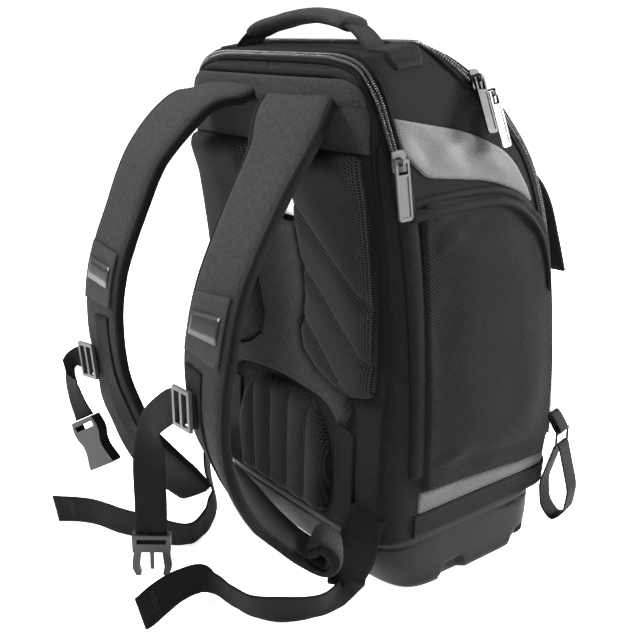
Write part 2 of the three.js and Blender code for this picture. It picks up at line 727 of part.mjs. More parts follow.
// Shoulder straps: padded bands from the yoke down the front of the wearer to their lower ends
const strapRows = {
  right: [
    { x: 44, y: 17 - backReach, z: backTop - 9, half: 46, turn: 0},
    {x: 54, y: -5 - backReach, z: backTop - 22, half: 44, turn: 0 },
    { x: 71, y: -29 - backReach, z: backTop - 46, half: 40, turn: 0},
    {x: 78, y: -178, z: 378, half: 36, turn: 0 },
    { x: 84, y: -203, z: 343, half: 34, turn: 0 }, { x: 88, y: -223, z: 308, half: 33, turn: 0 },
    { x: 91, y: -235, z: 272, half: 33, turn: 0 }, { x: 88, y: -239, z: 231, half: 33, turn: -4 },
    { x: 85, y: -234, z: 187, half: 33, turn: -12 }, { x: 88, y: -219, z: 147, half: 33, turn: -25 },
    { x: 87, y: -192, z: 108, half: 28, turn: -38 }, { x: 94, y: -176, z: 87, half: 25, turn: -38 },
    { x: 104, y: -163, z: 72, half: 23, turn: -38 }, { x: 116, y: -153, z: 65, half: 21, turn: -38 },
    { x: 127, y: -147, z: 67, half: 20, turn: -38 }, { x: 130, y: -146, z: 77, half: 20, turn: -38 },
    { x: 123, y: -151, z: 84, half: 20, turn: -38 }, { x: 115, y: -157, z: 81, half: 20, turn: -38 },
  ],
  left: [
    { x: -46, y: 17 - backReach, z: backTop - 3, half: 46, turn: 0},
    {x: -54, y: -5 - backReach, z: backTop - 16, half: 44, turn: 0 },
    { x: -64, y: -34 - backReach, z: backTop - 27, half: 40, turn: 0},
    {x: -86, y: -186, z: 393, half: 36, turn: 0 },
    { x: -93, y: -210, z: 340, half: 34, turn: 0 }, { x: -99, y: -228, z: 287, half: 33, turn: 0 },
    { x: -100, y: -234, z: 240, half: 32, turn: 0 }, { x: -87, y: -236, z: 204, half: 30, turn: -2 },
    { x: -85, y: -230, z: 164, half: 28, turn: 11},
    {x: -86, y: -218, z: 132, half: 26, turn: 9, tip: 20 },
    { x: -93, y: -190, z: 86, half: 25, turn: 26, tip: 28},
    {x: -98, y: -166, z: 57, half: 22, turn: 30, tip: 36 },
    { x: -100, y: -148, z: 36, half: 19, turn: 26, tip: 40 },
  ],
};
const strapFace = strapThickness / 2;
const strapSection = (grow) => (frame) => {
  const flat = frame.half * strapFlat;
  const brim = strapThickness * 0.27 + grow;
  const face = strapFace + grow;
  return [
    [-frame.half, -brim], [-flat, -face], [flat, -face], [frame.half, -brim],
    [frame.half, brim], [flat, face], [-flat, face], [-frame.half, brim],
  ];
};
const onYoke = gap + yokePly + gap;
const straps = {};
for (const [hand, rows] of Object.entries(strapRows)) {
  straps[hand] = bandFrames(rows, (rows.length - 1) * 2);
  place(`shoulder_strap_${hand}`, 'heather', sweep(straps[hand], strapSection(0)).subtract(body(onYoke)));
}

// Webbing strip down each strap's outer face, a coarse patch and a plate on it
const stripLift = strapFace + gap;
const frameNear = (frames, z) => frames.reduce((best, frame) => (
  Math.abs(frame.point.z - z) < Math.abs(best.point.z - z) ? frame : best
));
const framesBetween = (frames, high, low) => (
  frames.slice(frames.indexOf(frameNear(frames, high)), frames.indexOf(frameNear(frames, low)) + 1)
);
const stripShift = { right: -9, left: 8 };
for (const hand of ['right', 'left']) {
  const frames = straps[hand];
  const under = sweep(frames, strapSection(gap));
  const thick = webbingPly + 1.5;
  const strip = ribbon(framesBetween(frames, 246, 110), stripWidth, thick, stripShift[hand], stripLift - 1.5);
  place(`strap_strip_${hand}`, 'webbing', strip.subtract(under));
  const patch = ribbon(framesBetween(frames, 305, 258), patchWidth, thick, 0, stripLift - 1.5);
  place(`strap_patch_${hand}`, 'webbing', patch.subtract(under));
}

// Turns a solid drawn with x across, y up and z out into its place on the pack
function setOn(solid, point, across, out) {
  const up = new THREE.Vector3().crossVectors(out, across).normalize();
  const matrix = new THREE.Matrix4().makeBasis(across, up, out).setPosition(point);
  return solid.transform(matrix.elements);
}
const strapSpot = (hand, z, shift, lift) => {
  const frame = frameNear(bandFrames(strapRows[hand], 300), z);
  const point = frame.point.clone().addScaledVector(frame.across, shift);
  return { point: point.addScaledVector(frame.out, strapFace + lift), across: frame.across, out: frame.out };
};

// Webbing of the sternum strap, sewn down on the right and hanging on the left
const sternumStart = strapSpot('right', 213, -8, gap + webbingPly + gap * 5 + webbingPly / 2);
const sternumRows = {
  right: [
    { x: sternumStart.point.x + 8, y: sternumStart.point.y, z: 213, half: 0, turn: 180, tip: 88 },
    { x: 56, y: -249, z: 211, half: 0, turn: 180, tip: 70},
    {x: 37, y: -252, z: 199, half: 0, turn: 180, tip: 36 },
    { x: 19, y: -254, z: 182, half: 0, turn: 184, tip: 4},
    {x: 12, y: -253, z: 159, half: 0, turn: 212, tip: -12 },
    { x: 7, y: -252, z: 131, half: 0, turn: 234, tip: -16},
    {x: 4, y: -251, z: 100, half: 0, turn: 234, tip: -14 },
    { x: 0, y: -250, z: 69, half: 0, turn: 234, tip: -10 },
  ],
  left: [
    { x: -103, y: -243.8, z: 201, half: 0, turn: 0, tip: 80},
    {x: -122, y: -246, z: 198, half: 0, turn: 0, tip: 72 },
    { x: -141, y: -250, z: 186, half: 0, turn: 0, tip: 44},
    {x: -150, y: -251, z: 168, half: 0, turn: 0, tip: 6 },
    { x: -144, y: -250, z: 150, half: 0, turn: 10, tip: -8},
    {x: -135, y: -247, z: 133, half: 0, turn: 20, tip: -10 },
  ],
};
const sternum = {};
for (const [hand, rows] of Object.entries(sternumRows)) {
  sternum[hand] = bandFrames(rows, (rows.length - 1) * 2);
  place(`sternum_webbing_${hand}`, 'webbing', ribbon(sternum[hand], sternumWidth, webbingPly));
}

// Metal slide buckles: a frame with a bar between its two slots, lying on the webbing
function triGlide() {
  const slot = glideHeight / 2 - wireDiameter * 1.5;
  const frame = box(-glideWidth / 2, glideWidth / 2, -glideHeight / 2, glideHeight / 2, 0, wireDiameter);
  const reach = glideWidth / 2 - wireDiameter;
  const window = box(-reach, reach, wireDiameter / 2, wireDiameter / 2 + slot, -1, 9);
  return frame.subtract(window).subtract(window.mirror([0, 1, 0]));
}
const glideOn = (frame) => setOn(
  triGlide(), frame.point.clone().addScaledVector(frame.out, -webbingPly / 2 - gap * 4),
  frame.across, frame.out.clone().negate(),
);
place('triglide_right', 'bright_metal', glideOn(sternum.right[1]));
place('triglide_left', 'bright_metal', glideOn(sternum.left[1]));

// Side-release buckle, left open: its pronged half on the right webbing, its socket on the left one
function buckleMale() {
  const half = buckleWidth / 2;
  const bar = box(-half, half, 6, 24, -buckleDepth / 2, buckleDepth / 2)
    .subtract(box(-half + 4, half - 4, 15, 20, -9, 9));
  const prong = prism('z', outline([
    [half - 8, 6.5], [half - 1, 6.5], [half + 1, -12, 2], [half - 3, -22, 3], [half - 8, -20, 2], [half - 6, -12],
  ]), -buckleDepth * 0.32, buckleDepth * 0.32);
  const guide = box(-1.8, 1.8, -14, 6.5, -buckleDepth * 0.25, buckleDepth * 0.25);
  return bar.add(prong).add(prong.mirror([1, 0, 0])).add(guide);
}
function buckleFemale() {
  const half = buckleWidth / 2 + 2;
  const block = prism('z', outline([
    [-half + 3, 22, 2], [half - 3, 22, 2], [half, 8, 6],
    [half * 0.62, -6, 8], [half, -28, 4], [-half, -28, 4],
    [-half * 0.62, -6, 8], [-half, 8, 6],
  ]), -buckleDepth * 0.7, buckleDepth * 0.7);
  const mouth = box(-half + 6, half - 6, -30, 6, -buckleDepth * 0.42, buckleDepth * 0.42);
  return block.subtract(mouth).subtract(box(-half + 6, half - 6, 12, 17, -9, 9));
}
const maleAt = sternum.right[sternum.right.length - 1];
const femaleAt = sternum.left[sternum.left.length - 1];
const beyond = (frame, drop) => frame.point.clone().addScaledVector(frame.tangent, drop);
const maleMouth = beyond(maleAt, 24 + gap);
place('buckle_male', 'grey_plastic', setOn(buckleMale(), maleMouth, maleAt.across, maleAt.out));
place('buckle_female', 'hard_plastic', setOn(
  buckleFemale(), beyond(femaleAt, 22 + gap), femaleAt.across, femaleAt.out,
));

// Long webbing tails from the base's rear corners: each stands on its edge on the floor.
// The table gives the lower edge and a point over it.
const edgeFrames = (table, width, steps) => {
  const rows = table.map((row) => {
    const edge = new THREE.Vector3(...row.edge);
    const across = new THREE.Vector3(...row.over).sub(edge).normalize();
    return { centre: edge.clone().addScaledVector(across, width / 2), across };
  });
  const route = new THREE.CatmullRomCurve3(rows.map((row) => row.centre));
  const lean = new THREE.CatmullRomCurve3(rows.map((row) => row.across));
  return Array.from({ length: steps + 1 }, (_, i) => {
    const tangent = route.getTangent(i / steps);
    const across = lean.getPoint(i / steps);
    across.addScaledVector(tangent, -across.dot(tangent)).normalize();
    return {
      point: route.getPoint(i / steps),
      across,
      out: new THREE.Vector3().crossVectors(tangent, across).normalize(),
    };
  });
};
const tailCorner = bodyHalfWidth - 13;
const tailTop = baseHeight + 30;
const tailRows = {
  right: [
    { edge: [tailCorner, -88, tailTop], over: [tailCorner - 26, -110, tailTop + 2] },
    { edge: [tailCorner + 3, -101, tailTop - 14], over: [tailCorner - 23, -125, tailTop - 10] },
    { edge: [tailCorner + 3, -105, tailTop - 36], over: [tailCorner - 25, -128, tailTop - 32] },
    { edge: [124, -108, 24], over: [106, -128, 42] }, { edge: [112, -117, 1.2], over: [112, -124, 34] },
    { edge: [110, -150, 1], over: [124, -156, 35] }, { edge: [97, -180, 1], over: [106, -187, 36] },
    { edge: [75, -194, 1], over: [90, -203, 35] }, { edge: [51, -200, 2], over: [66, -208, 31] },
    { edge: [30, -205, 4], over: [42, -211, 31] }, { edge: [23, -217, 6], over: [27, -218, 31] },
    { edge: [22, -232, 5], over: [22, -239, 32] }, { edge: [26, -250, 3], over: [23, -262, 30] },
    { edge: [31, -270, 1], over: [31, -290, 28] },
  ],
  left: [
    { edge: [2 - tailCorner, -90, tailTop + 2], over: [28 - tailCorner, -112, tailTop + 2] },
    { edge: [-2 - tailCorner, -103, tailTop - 10], over: [24 - tailCorner, -126, tailTop - 8]},
    {edge: [-129, -112, 40], over: [-105, -132, 52] },
    { edge: [-108, -118, 6], over: [-92, -132, 36] }, { edge: [-88, -136, 1], over: [-78, -146, 36] },
    { edge: [-72, -156, 1], over: [-60, -162, 36] }, { edge: [-64, -178, 1], over: [-50, -184, 34] },
    { edge: [-82, -200, 1], over: [-72, -203, 36] }, { edge: [-110, -214, 1], over: [-100, -217, 36] },
    { edge: [-128, -224, 1], over: [-119, -226, 36]},
    {edge: [-157, -235, 1], over: [-150, -239, 36] },
    { edge: [-175, -248, 1], over: [-166, -251, 36]},
    {edge: [-195, -268, 1], over: [-180, -262, 33] },
  ],
};
const onPiping = gap + pipingRise + gap;
for (const [hand, rows] of Object.entries(tailRows)) {
  const frames = edgeFrames(rows, tailWidth, (rows.length - 1) * 2);
  place(`webbing_tail_${hand}`, 'webbing', ribbon(frames, tailWidth, tailPly).subtract(body(onPiping)));
}

// Carry handle: webbing from one side of the crown to the other through a padded grip
const handleRows = [
  { x: 39 - bodyHalfWidth, y: handleY, z: bodyHeight - 24, half: 15, turn: 90},
  {x: 47 - bodyHalfWidth, y: handleY, z: bodyHeight - 10, half: 15, turn: 90 },
  { x: -77, y: handleY, z: bodyHeight + 9, half: 12, turn: 90},
  {x: -33, y: handleY, z: bodyHeight + 19, half: 12, turn: 90 },
  { x: 10, y: handleY, z: bodyHeight + 23, half: 12, turn: 90},
  {x: 50, y: handleY, z: bodyHeight + 18, half: 12, turn: 90 },
  { x: 71, y: handleY, z: bodyHeight + 10, half: 12, turn: 90},
  {x: bodyHalfWidth - 58, y: handleY, z: bodyHeight - 5, half: 12, turn: 90 },
  { x: bodyHalfWidth - 35, y: handleY, z: bodyHeight - 32, half: 12, turn: 90 },
];
const handleFrames = bandFrames(handleRows, (handleRows.length - 1) * 2);
const onPatch = gap + clothPly + gap;
const handleSection = (frame) => {
  const ply = handlePly / 2;
  return [[-frame.half, -ply], [frame.half, -ply], [frame.half, ply], [-frame.half, ply]];
};
place('handle_webbing', 'webbing', sweep(handleFrames, handleSection).subtract(body(onPatch)));
const gripFrames = handleFrames.slice(4, 12);
const gripSection = () => Array.from({ length: 10 }, (_, i) => {
  const angle = (i / 10) * 2 * Math.PI;
  return [Math.cos(angle) * gripWidth / 2, Math.sin(angle) * gripThickness / 2];
});
const gripHole = () => {
  const across = handleWebbingWidth / 2 + gap;
  const out = handlePly / 2 + gap;
  return [[-across, -out], [across, -out], [across, out], [-across, out]];
};
const longer = (frames) => {
  const first = frames[0];
  const last = frames[frames.length - 1];
  const before = first.point.clone().lerp(frames[1].point, -0.05);
  const after = last.point.clone().lerp(frames[frames.length - 2].point, -0.05);
  return [{ ...first, point: before }, ...frames.slice(1, -1), { ...last, point: after }];
};
place('handle_grip', 'heather', sweep(gripFrames, gripSection).subtract(sweep(longer(gripFrames), gripHole)));
for (const [hand, turn] of hands) {
  const patch = prism('z', outline([
    [bodyHalfWidth - 55, handleY - 16, 3], [bodyHalfWidth - 21, handleY - 16, 3],
    [bodyHalfWidth - 21, handleY + 16, 3], [bodyHalfWidth - 55, handleY + 16, 3],
  ]), bodyHeight * 0.8, bodyHeight + 30);
  place(`handle_patch_${hand}`, 'webbing', turn(layer(gap, gap + clothPly).intersect(patch)));
}

// Zip sliders with a bridge on top, and the pull tabs whose bar passes under the bridge
const bridgeInner = 1.9;
const bridgeWide = 2.5;
const barHeight = sliderPlate + 2.6;
function slider() {
  const plate = prism('z', outline([
    [-sliderWidth / 2, -sliderLength / 2, 3], [sliderWidth / 2, -sliderLength / 2, 3],
    [sliderWidth / 2, sliderLength / 2, 5], [-sliderWidth / 2, sliderLength / 2, 5],
  ]), 0, sliderPlate);
  const outer = bridgeInner + 1.6;
  const bridge = prism('x', outline([
    [-outer, sliderPlate - 0.5], [outer, sliderPlate - 0.5], [outer, barHeight + 1],
    [bridgeInner, barHeight + outer, 1], [-bridgeInner, barHeight + outer, 1], [-outer, barHeight + 1],
  ]), -bridgeWide / 2, bridgeWide / 2);
  const hole = prism('x', outline([
    [-bridgeInner, sliderPlate], [bridgeInner, sliderPlate], [bridgeInner, barHeight + 1, 1],
    [0, barHeight + bridgeInner + 0.3], [-bridgeInner, barHeight + 1, 1],
  ]), -bridgeWide, bridgeWide);
  return plate.add(bridge.subtract(hole));
}
function pullTab() {
  const half = tabWidth / 2;
  const face = tabThickness / 2;
  const tab = prism('z', outline([
    [-half, tabBar / 2], [half, tabBar / 2], [half, -tabLength, 3], [-half, -tabLength, 3],
  ]), -face, face);
  const window = box(-half + tabRail, half - tabRail, -tabWindow, -tabBar / 2, -9, 9);
  const fieldFoot = tabRail * 1.5 - tabLength;
  const field = box(-half + tabRail, half - tabRail, fieldFoot, -tabWindow - tabRail, face - 0.5, 9);
  return tab.subtract(window).subtract(field);
}
const chainHeight = (y) => {
  const row = mainLine.findIndex((point, i) => i > 1 && point[0] < y);
  const [y0, z0] = mainLine[row - 1];
  const [y1, z1] = mainLine[row];
  return THREE.MathUtils.lerp(z0, z1, (y - y0) / (y1 - y0));
};
const pulls = [
  { slider: 'laptop_slider', pull: 'laptop_pull', y: dividerAt(399), z: 399,
    lean: 4, lift: 1.8, out: [1, -0.1, 0.08], metal: 'bright_metal',
  },
  { slider: 'main_slider_upper', pull: 'main_pull_upper', y: -4, z: chainHeight(-4),
    lean: 0, lift: 0.5, out: [0.9, 0.1, 0.36], metal: 'dark_metal',
  },
  { slider: 'main_slider_lower', pull: 'main_pull_lower', y: 11, z: chainHeight(11),
    lean: 4, lift: 0.8, out: [0.9, 0.14, 0.3], metal: 'bright_metal',
  },
];
for (const row of pulls) {
  const spot = onBody([reachOut, row.y, row.z], [-1, 0, 0]);
  const out = new THREE.Vector3(...row.out).normalize();
  const lean = THREE.MathUtils.degToRad(row.lean);
  const up = new THREE.Vector3(0, -Math.sin(lean), Math.cos(lean));
  up.addScaledVector(out, -up.dot(out)).normalize();
  const across = new THREE.Vector3().crossVectors(up, out).normalize();
  const base = spot.point.clone().addScaledVector(out, gap + chainRise + row.lift);
  place(row.slider, row.metal, setOn(slider(), base, across, out));
  place(row.pull, row.metal, setOn(pullTab(), base.clone().addScaledVector(out, barHeight), across, out));
}

// Front: a raised panel, a compression tab at its upper right, and a webbing loop on a ring
const panelHalf = bodyHalfWidth - 55;
const panelTop = backTop - 107;
const frontPrism = (shape) => prism('y', shape, 0, frontReach + 60);
place('front_panel', 'heather', layer(gap, panelRise).intersect(frontPrism(outline([
  [-panelHalf, bandTop + 8, 16], [panelHalf, bandTop + 8, 16], [panelHalf + 4, panelTop - 112, 40],
  [panelHalf - 8, panelTop, 30], [8 - panelHalf, panelTop, 30], [-4 - panelHalf, panelTop - 112, 40],
]))));
const tabSide = bodyHalfWidth - 45;
const tabFrames = bandFrames([
  { x: tabSide, y: 78, z: backTop - 79, half: 17, turn: 0 },
  { x: tabSide + 1, y: 104, z: backTop - 97, half: 17, turn: 0 },
  { x: tabSide + 2, y: 119, z: backTop - 119, half: 18, turn: 0 },
  { x: tabSide + 3, y: 131, z: backTop - 149, half: 18, turn: 0 },
  { x: tabSide + 4, y: 144, z: backTop - 187, half: 19, turn: 0 },
], 8);
place('front_tab', 'dobby', sweep(tabFrames, (frame) => (
  [[-frame.half, -2], [frame.half, -2], [frame.half, 2], [-frame.half, 2]]
)).subtract(body(gap)));

// Rectangular wire ring at the base's front corner: it hangs in a folded keeper of webbing, and a
// loop of webbing hangs in it. Both are drawn across (x), down (y) and out of their plane (z).
const ringWay = new THREE.Vector3(-0.24, 0.97, 0).normalize();
const ringOut = new THREE.Vector3(0.97, 0.24, 0).normalize();
const ringSpot = new THREE.Vector3(bodyHalfWidth + 7, frontReach - 6, bandTop + 27);
const onRing = (solid) => setOn(solid, ringSpot, ringWay, ringOut);
const ringAcross = loopWidth / 2 + ringWire / 2 + gap * 3;
const ringDown = ringDrop / 2;
const ringCorners = [[1, 1], [-1, 1], [-1, -1], [1, -1]].map(([x, y]) => (
  new THREE.Vector3(x * ringAcross, y * ringDown, 0)
));
function wireFrame(corners, diameter) {
  let frame = null;
  corners.forEach((corner, i) => {
    const next = corners[(i + 1) % corners.length];
    const way = new THREE.Vector3().subVectors(next, corner);
    const bar = new THREE.CylinderGeometry(diameter / 2, diameter / 2, way.length() + diameter * 0.8, 8);
    const turn = new THREE.Quaternion().setFromUnitVectors(new THREE.Vector3(0, 1, 0), way.clone().normalize());
    bar.applyQuaternion(turn);
    bar.translate(...corner.clone().add(next).multiplyScalar(0.5).toArray());
    const solid = solidOf(bar);
    frame = frame ? frame.add(solid) : solid;
  });
  return frame;
}
place('corner_ring', 'dark_metal', onRing(wireFrame(ringCorners, ringWire)));

// A closed loop of webbing round a bar at the origin, hanging down or standing up by its reach
function webbingLoop(width, reach, spread, ply) {
  const inner = ringWire / 2 + gap;
  const side = Math.sign(reach);
  const rows = [
    [0, -side * inner], [inner, -side * inner * 0.5], [inner + 0.5, side * inner],
    [spread / 2, reach * 0.55], [spread / 2 * 0.8, reach * 0.85], [0, reach],
  ];
  const half = (grow) => rows.map(([z, y], i) => [
    i === 0 || i === rows.length - 1 ? 0 : z + grow,
    y + (i < 2 ? -side * grow : 0) + (i > rows.length - 3 ? side * grow : 0),
  ]);
  const closed = (grow) => {
    const right = half(grow);
    const left = right.slice(1, -1).map(([z, y]) => [-z, y]).reverse();
    return outline([...right, ...left].map(([z, y]) => [y, z]));
  };
  return prism('x', closed(ply), -width / 2, width / 2).subtract(prism('x', closed(0), -width, width));
}
place('corner_loop', 'webbing', onRing(
  webbingLoop(loopWidth, -loopReach, loopSpread, webbingPly).translate([0, -ringDown, 0]),
));
const keeperOut = ringOut.clone().applyAxisAngle(ringWay, -THREE.MathUtils.degToRad(keeperLean));
const topBar = ringSpot.clone().setZ(ringSpot.z + ringDown);
place('ring_keeper', 'webbing', setOn(
  webbingLoop(loopWidth - 4, keeperReach, ringWire + 2, webbingPly), topBar, ringWay, keeperOut,
).subtract(body(gap + chainRise + gap)));

const model = backpack;
export default model;
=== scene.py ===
import math

import bpy
import numpy as np
from mathutils import Matrix, Vector, noise
from mathutils.bvhtree import BVHTree
from mathutils.geometry import delaunay_2d_cdt
from mathutils.interpolate import poly_3d_calc


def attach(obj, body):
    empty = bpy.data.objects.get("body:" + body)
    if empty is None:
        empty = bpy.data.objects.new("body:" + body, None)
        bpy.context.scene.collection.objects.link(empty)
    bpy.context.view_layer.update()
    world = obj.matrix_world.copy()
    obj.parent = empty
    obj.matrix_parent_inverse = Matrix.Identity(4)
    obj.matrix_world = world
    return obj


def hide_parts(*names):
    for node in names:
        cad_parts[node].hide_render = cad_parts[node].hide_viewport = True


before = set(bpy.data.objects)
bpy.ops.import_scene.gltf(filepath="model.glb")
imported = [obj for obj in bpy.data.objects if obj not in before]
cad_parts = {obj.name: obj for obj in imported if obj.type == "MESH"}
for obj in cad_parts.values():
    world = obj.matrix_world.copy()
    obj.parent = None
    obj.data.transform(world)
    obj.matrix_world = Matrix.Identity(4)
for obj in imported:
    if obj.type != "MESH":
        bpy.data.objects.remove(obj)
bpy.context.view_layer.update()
MM = 0.001

# ------------------------------------------------------------------ camera, at the photograph's place
CAMERA_PLACE = (0.6574, -0.5738, 0.4953)
CAMERA_TURN = math.radians(52)
CAMERA_PITCH = math.radians(17.6)
CAMERA_LENS = 51.47

camera_data = bpy.data.cameras.new("camera")
camera_data.lens = CAMERA_LENS
camera_data.sensor_width = 36
camera_data.clip_end = 50
camera = bpy.data.objects.new("camera", camera_data)
bpy.context.collection.objects.link(camera)
right = Vector((math.cos(CAMERA_TURN), math.sin(CAMERA_TURN), 0))
back = Vector((
    math.sin(CAMERA_TURN) * math.cos(CAMERA_PITCH), -math.cos(CAMERA_TURN) * math.cos(CAMERA_PITCH),
    math.sin(CAMERA_PITCH),
))
up = back.cross(right)
camera.matrix_world = Matrix.Translation(CAMERA_PLACE) @ Matrix((right, up, back)).transposed().to_4x4()
bpy.context.scene.camera = camera

# ------------------------------------------------------------------ sizes in mm, as the solids have them
GAP = 0.3
RIM_LIFT = -0.6
BODY_HEIGHT, BODY_HALF, BACK_REACH, FRONT_REACH = 484, 147, 121, 128
SPINE_RECESS, SPINE_TOP, SQUARENESS, CORNER_WEIGHT, CROWN_RISE = 4, 398, 9, 70, 3
BASE_HEIGHT, BASE_WALL, BASE_INSET, FOOT_INSET, BASE_LEAN = 62, 3.5, 3, 3, 27
NOTCH_HEIGHT, NOTCH_DEPTH = 17, 12
BODY_FOOT = BASE_HEIGHT + GAP
BAND_TOP = BASE_HEIGHT + 24
STRIP_HEIGHT = 22
DIVIDER_FOOT, DIVIDER_SWEEP, DIVIDER_CURL, BACK_TOP = -69, 39, 2.8, 459
SILVER_BACK, SILVER_FRONT = 431, 396
POCKET_TOP, POCKET_FOOT = 366, 110
BACK_HALF, BACK_ROUND, PIPING_WIDTH = 127, 42, 4.5
YOKE_FOOT, YOKE_SEAM = 404, 440
PAD_RISE, PAD_CHANNELS, CHANNEL_STEP, CHANNEL_SLOPE, LUMBAR_RIBS = 15, 3, 52, 0.95, 5
SLEEVE_TOP, SLEEVE_RISE, SLEEVE_WAIST, LUMBAR_TOP = 338, 11, 28, 180
STRAP_FACE, STRIP_WIDTH, PATCH_WIDTH, PLATE_WIDTH = 6.5, 25, 50, 40
TAIL_WIDTH, TAIL_PLY, STERNUM_WIDTH, WEBBING_PLY = 34, 2, 28, 1.6
HANDLE_Y, GRIP_WIDTH, GRIP_THICK, HANDLE_PLY = -72, 31, 13, 2.4
CHAIN_WIDTH, ZIP_FOOT, SLIDER_HEIGHT, ZIP_SHIFT = 10, 114, 399, 3
RING_WIRE, LOOP_WIDTH, LOOP_REACH, LOOP_SPREAD, RING_DROP = 2.6, 22, 82, 30, 13
KEEPER_REACH, KEEPER_LEAN = 27, 33

# Columns: back rise, front rise, back, front, half width, squareness, zip's place behind the front
SECTIONS = np.array([
    (0, 0, 0.86, 1.0, 0.965, 1, 0.1),
    (0.061, 0.061, 0.868, 1.0, 0.98, 1, 0.1),
    (0.146, 0.142, 0.868, 1.02, 0.992, 1, 0.11),
    (0.268, 0.254, 0.85, 0.99, 1, 1, 0.12),
    (0.397, 0.378, 0.826, 0.945, 1, 1, 0.13),
    (0.528, 0.497, 0.835, 0.9, 0.997, 0.96, 0.14),
    (0.635, 0.604, 0.876, 0.845, 0.988, 0.92, 0.15),
    (0.73, 0.696, 0.926, 0.76, 0.972, 0.88, 0.15),
    (0.808, 0.78, 0.97, 0.63, 0.95, 0.82, 0.15),
    (0.867, 0.854, 0.99, 0.455, 0.92, 0.76, 0.17),
    (0.909, 0.922, 1, 0.22, 0.895, 0.72, 0.2),
    (0.946, 0.975, 0.972, -0.08, 0.86, 0.64, 0.15),
    (0.977, 1.005, 0.9, -0.32, 0.8, 0.56, 0.055),
])
# Columns: y, rise, tall, long, depth
SIDE_FOLDS = [
    (-0.2, 0.84, 0.034, 0.5, 1.6), (0.32, 0.564, 0.115, 0.14, 1.8), (-0.05, 0.082, 0.034, 0.6, 1.8),
]
LOOP_POINTS = 260
ROWS_A_SECTION = 8


# ------------------------------------------------------------------ shared geometry
def smooth(none, full, value):
    share = np.clip((np.asarray(value, float) - none) / (full - none), 0, 1)
    return share * share * (3 - 2 * share)


def bump(value):
    return np.exp(-np.square(value))


def unit(vectors):
    size = np.linalg.norm(vectors, axis=-1, keepdims=True)
    return vectors / np.maximum(size, 1e-9)


def table_at(table, place):
    """A row of a table between its rows, on a smooth curve."""
    last = len(table) - 1
    row = min(int(place), last - 1)
    t = place - row
    before, here, after, beyond = (table[min(max(row + i, 0), last)] for i in (-1, 0, 1, 2))
    return 0.5 * (
        2 * here + (after - before) * t + (2 * before - 5 * here + 4 * after - beyond) * t * t
        + (3 * here - before - 3 * after + beyond) * t ** 3
    )


def rounded_loop(half, back_reach, front_reach, squareness, count):
    fine = 1440
    angle = -math.pi / 2 + np.arange(fine + 1) / fine * 2 * math.pi
    c, s = np.cos(angle), np.sin(angle)
    power = 2 / squareness
    reach, middle = (front_reach + back_reach) / 2, (front_reach - back_reach) / 2
    track = np.stack([
        half * np.sign(c) * np.abs(c) ** power, middle + reach * np.sign(s) * np.abs(s) ** power,
    ], 1)
    step = np.diff(track, axis=0)
    ahead = np.roll(step, -1, axis=0)
    turn = np.abs(np.arctan2(
        step[:, 0] * ahead[:, 1] - step[:, 1] * ahead[:, 0], (step * ahead).sum(1),
    ))
    lengths = np.concatenate([[0], np.cumsum(np.linalg.norm(step, axis=1) + turn * CORNER_WEIGHT)])
    target = np.arange(count) / count * lengths[-1]
    return np.stack([np.interp(target, lengths, track[:, i]) for i in (0, 1)], 1)


def body_ring(place):
    back_rise, front_rise, back_share, front_share, half_share, square, _ = table_at(SECTIONS, place)
    back_reach, front_reach = back_share * BACK_REACH, front_share * FRONT_REACH
    half = half_share * BODY_HALF
    loop = rounded_loop(half, back_reach, front_reach, SQUARENESS * square, LOOP_POINTS)
    x, y = loop[:, 0], loop[:, 1]
    share = (y + back_reach) / (front_reach + back_reach)
    climb = back_rise + (front_rise - back_rise) * share
    z = BODY_FOOT + (BODY_HEIGHT - BODY_FOOT) * climb
    flank = smooth(0.97, 0.8, np.abs(x) / half) * smooth(0.16, 0.02, share)
    recess = (
        SPINE_RECESS * flank * smooth(SPINE_TOP, SPINE_TOP - 34, z)
        * smooth(BASE_HEIGHT, BASE_HEIGHT + 24, z)
    )
    fold = sum(
        depth * bump((climb - rise) / tall) * bump((y / BODY_HALF - at) / long)
        for at, rise, tall, long, depth in SIDE_FOLDS
    )
    side = smooth(0.86, 0.97, np.abs(x) / half)
    return np.stack([x - np.sign(x) * fold * side, y + recess, z], 1)


def grid_normals(grid):
    across = np.roll(grid, -1, axis=1) - np.roll(grid, 1, axis=1)
    along = np.gradient(grid, axis=0)
    return unit(np.cross(across, along))


places = np.linspace(0, len(SECTIONS) - 1, (len(SECTIONS) - 1) * ROWS_A_SECTION + 1)
body_grid = np.array([body_ring(place) for place in places])
crown = body_grid[-1]
middle = crown.mean(0) + (0, 0, CROWN_RISE)
for share in (0.04, 0.1, 0.2, 0.34, 0.5, 0.68, 0.84, 0.95, 1.0):
    row = crown + (middle - crown) * share
    row[:, 2] = crown[:, 2] + (middle[2] - crown[:, 2]) * math.sin(share * math.pi / 2)
    body_grid = np.concatenate([body_grid, row[None]])
body_normals = grid_normals(body_grid)
body_normals[-1] = (0, 0, 1)
SIDE_ROWS = len(places)

# Soft unevenness of the cloth between its seams
for r, ring in enumerate(body_grid):
    for i, point in enumerate(ring):
        if point[2] > 96 and abs(point[0]) > 100 and -60 < point[1]:
            dent = noise.noise(Vector(point * (0.018, 0.018, 0.014))) * 1.2
            ring[i] = point + body_normals[r][i] * min(dent, 0.4)


def grid_faces(rows, columns, wrap=True):
    faces = []
    for r in range(rows - 1):
        for i in range(columns if wrap else columns - 1):
            j = (i + 1) % columns
            faces.append((r * columns + i, r * columns + j, (r + 1) * columns + j, (r + 1) * columns + i))
    return faces


flat_points = [Vector(p) for p in body_grid.reshape(-1, 3)]
flat_normals = body_normals.reshape(-1, 3)
body_faces = []
for a, b, c, d in grid_faces(len(body_grid), LOOP_POINTS):
    body_faces += [(a, b, c), (a, c, d)]
tree = BVHTree.FromPolygons(flat_points, body_faces)


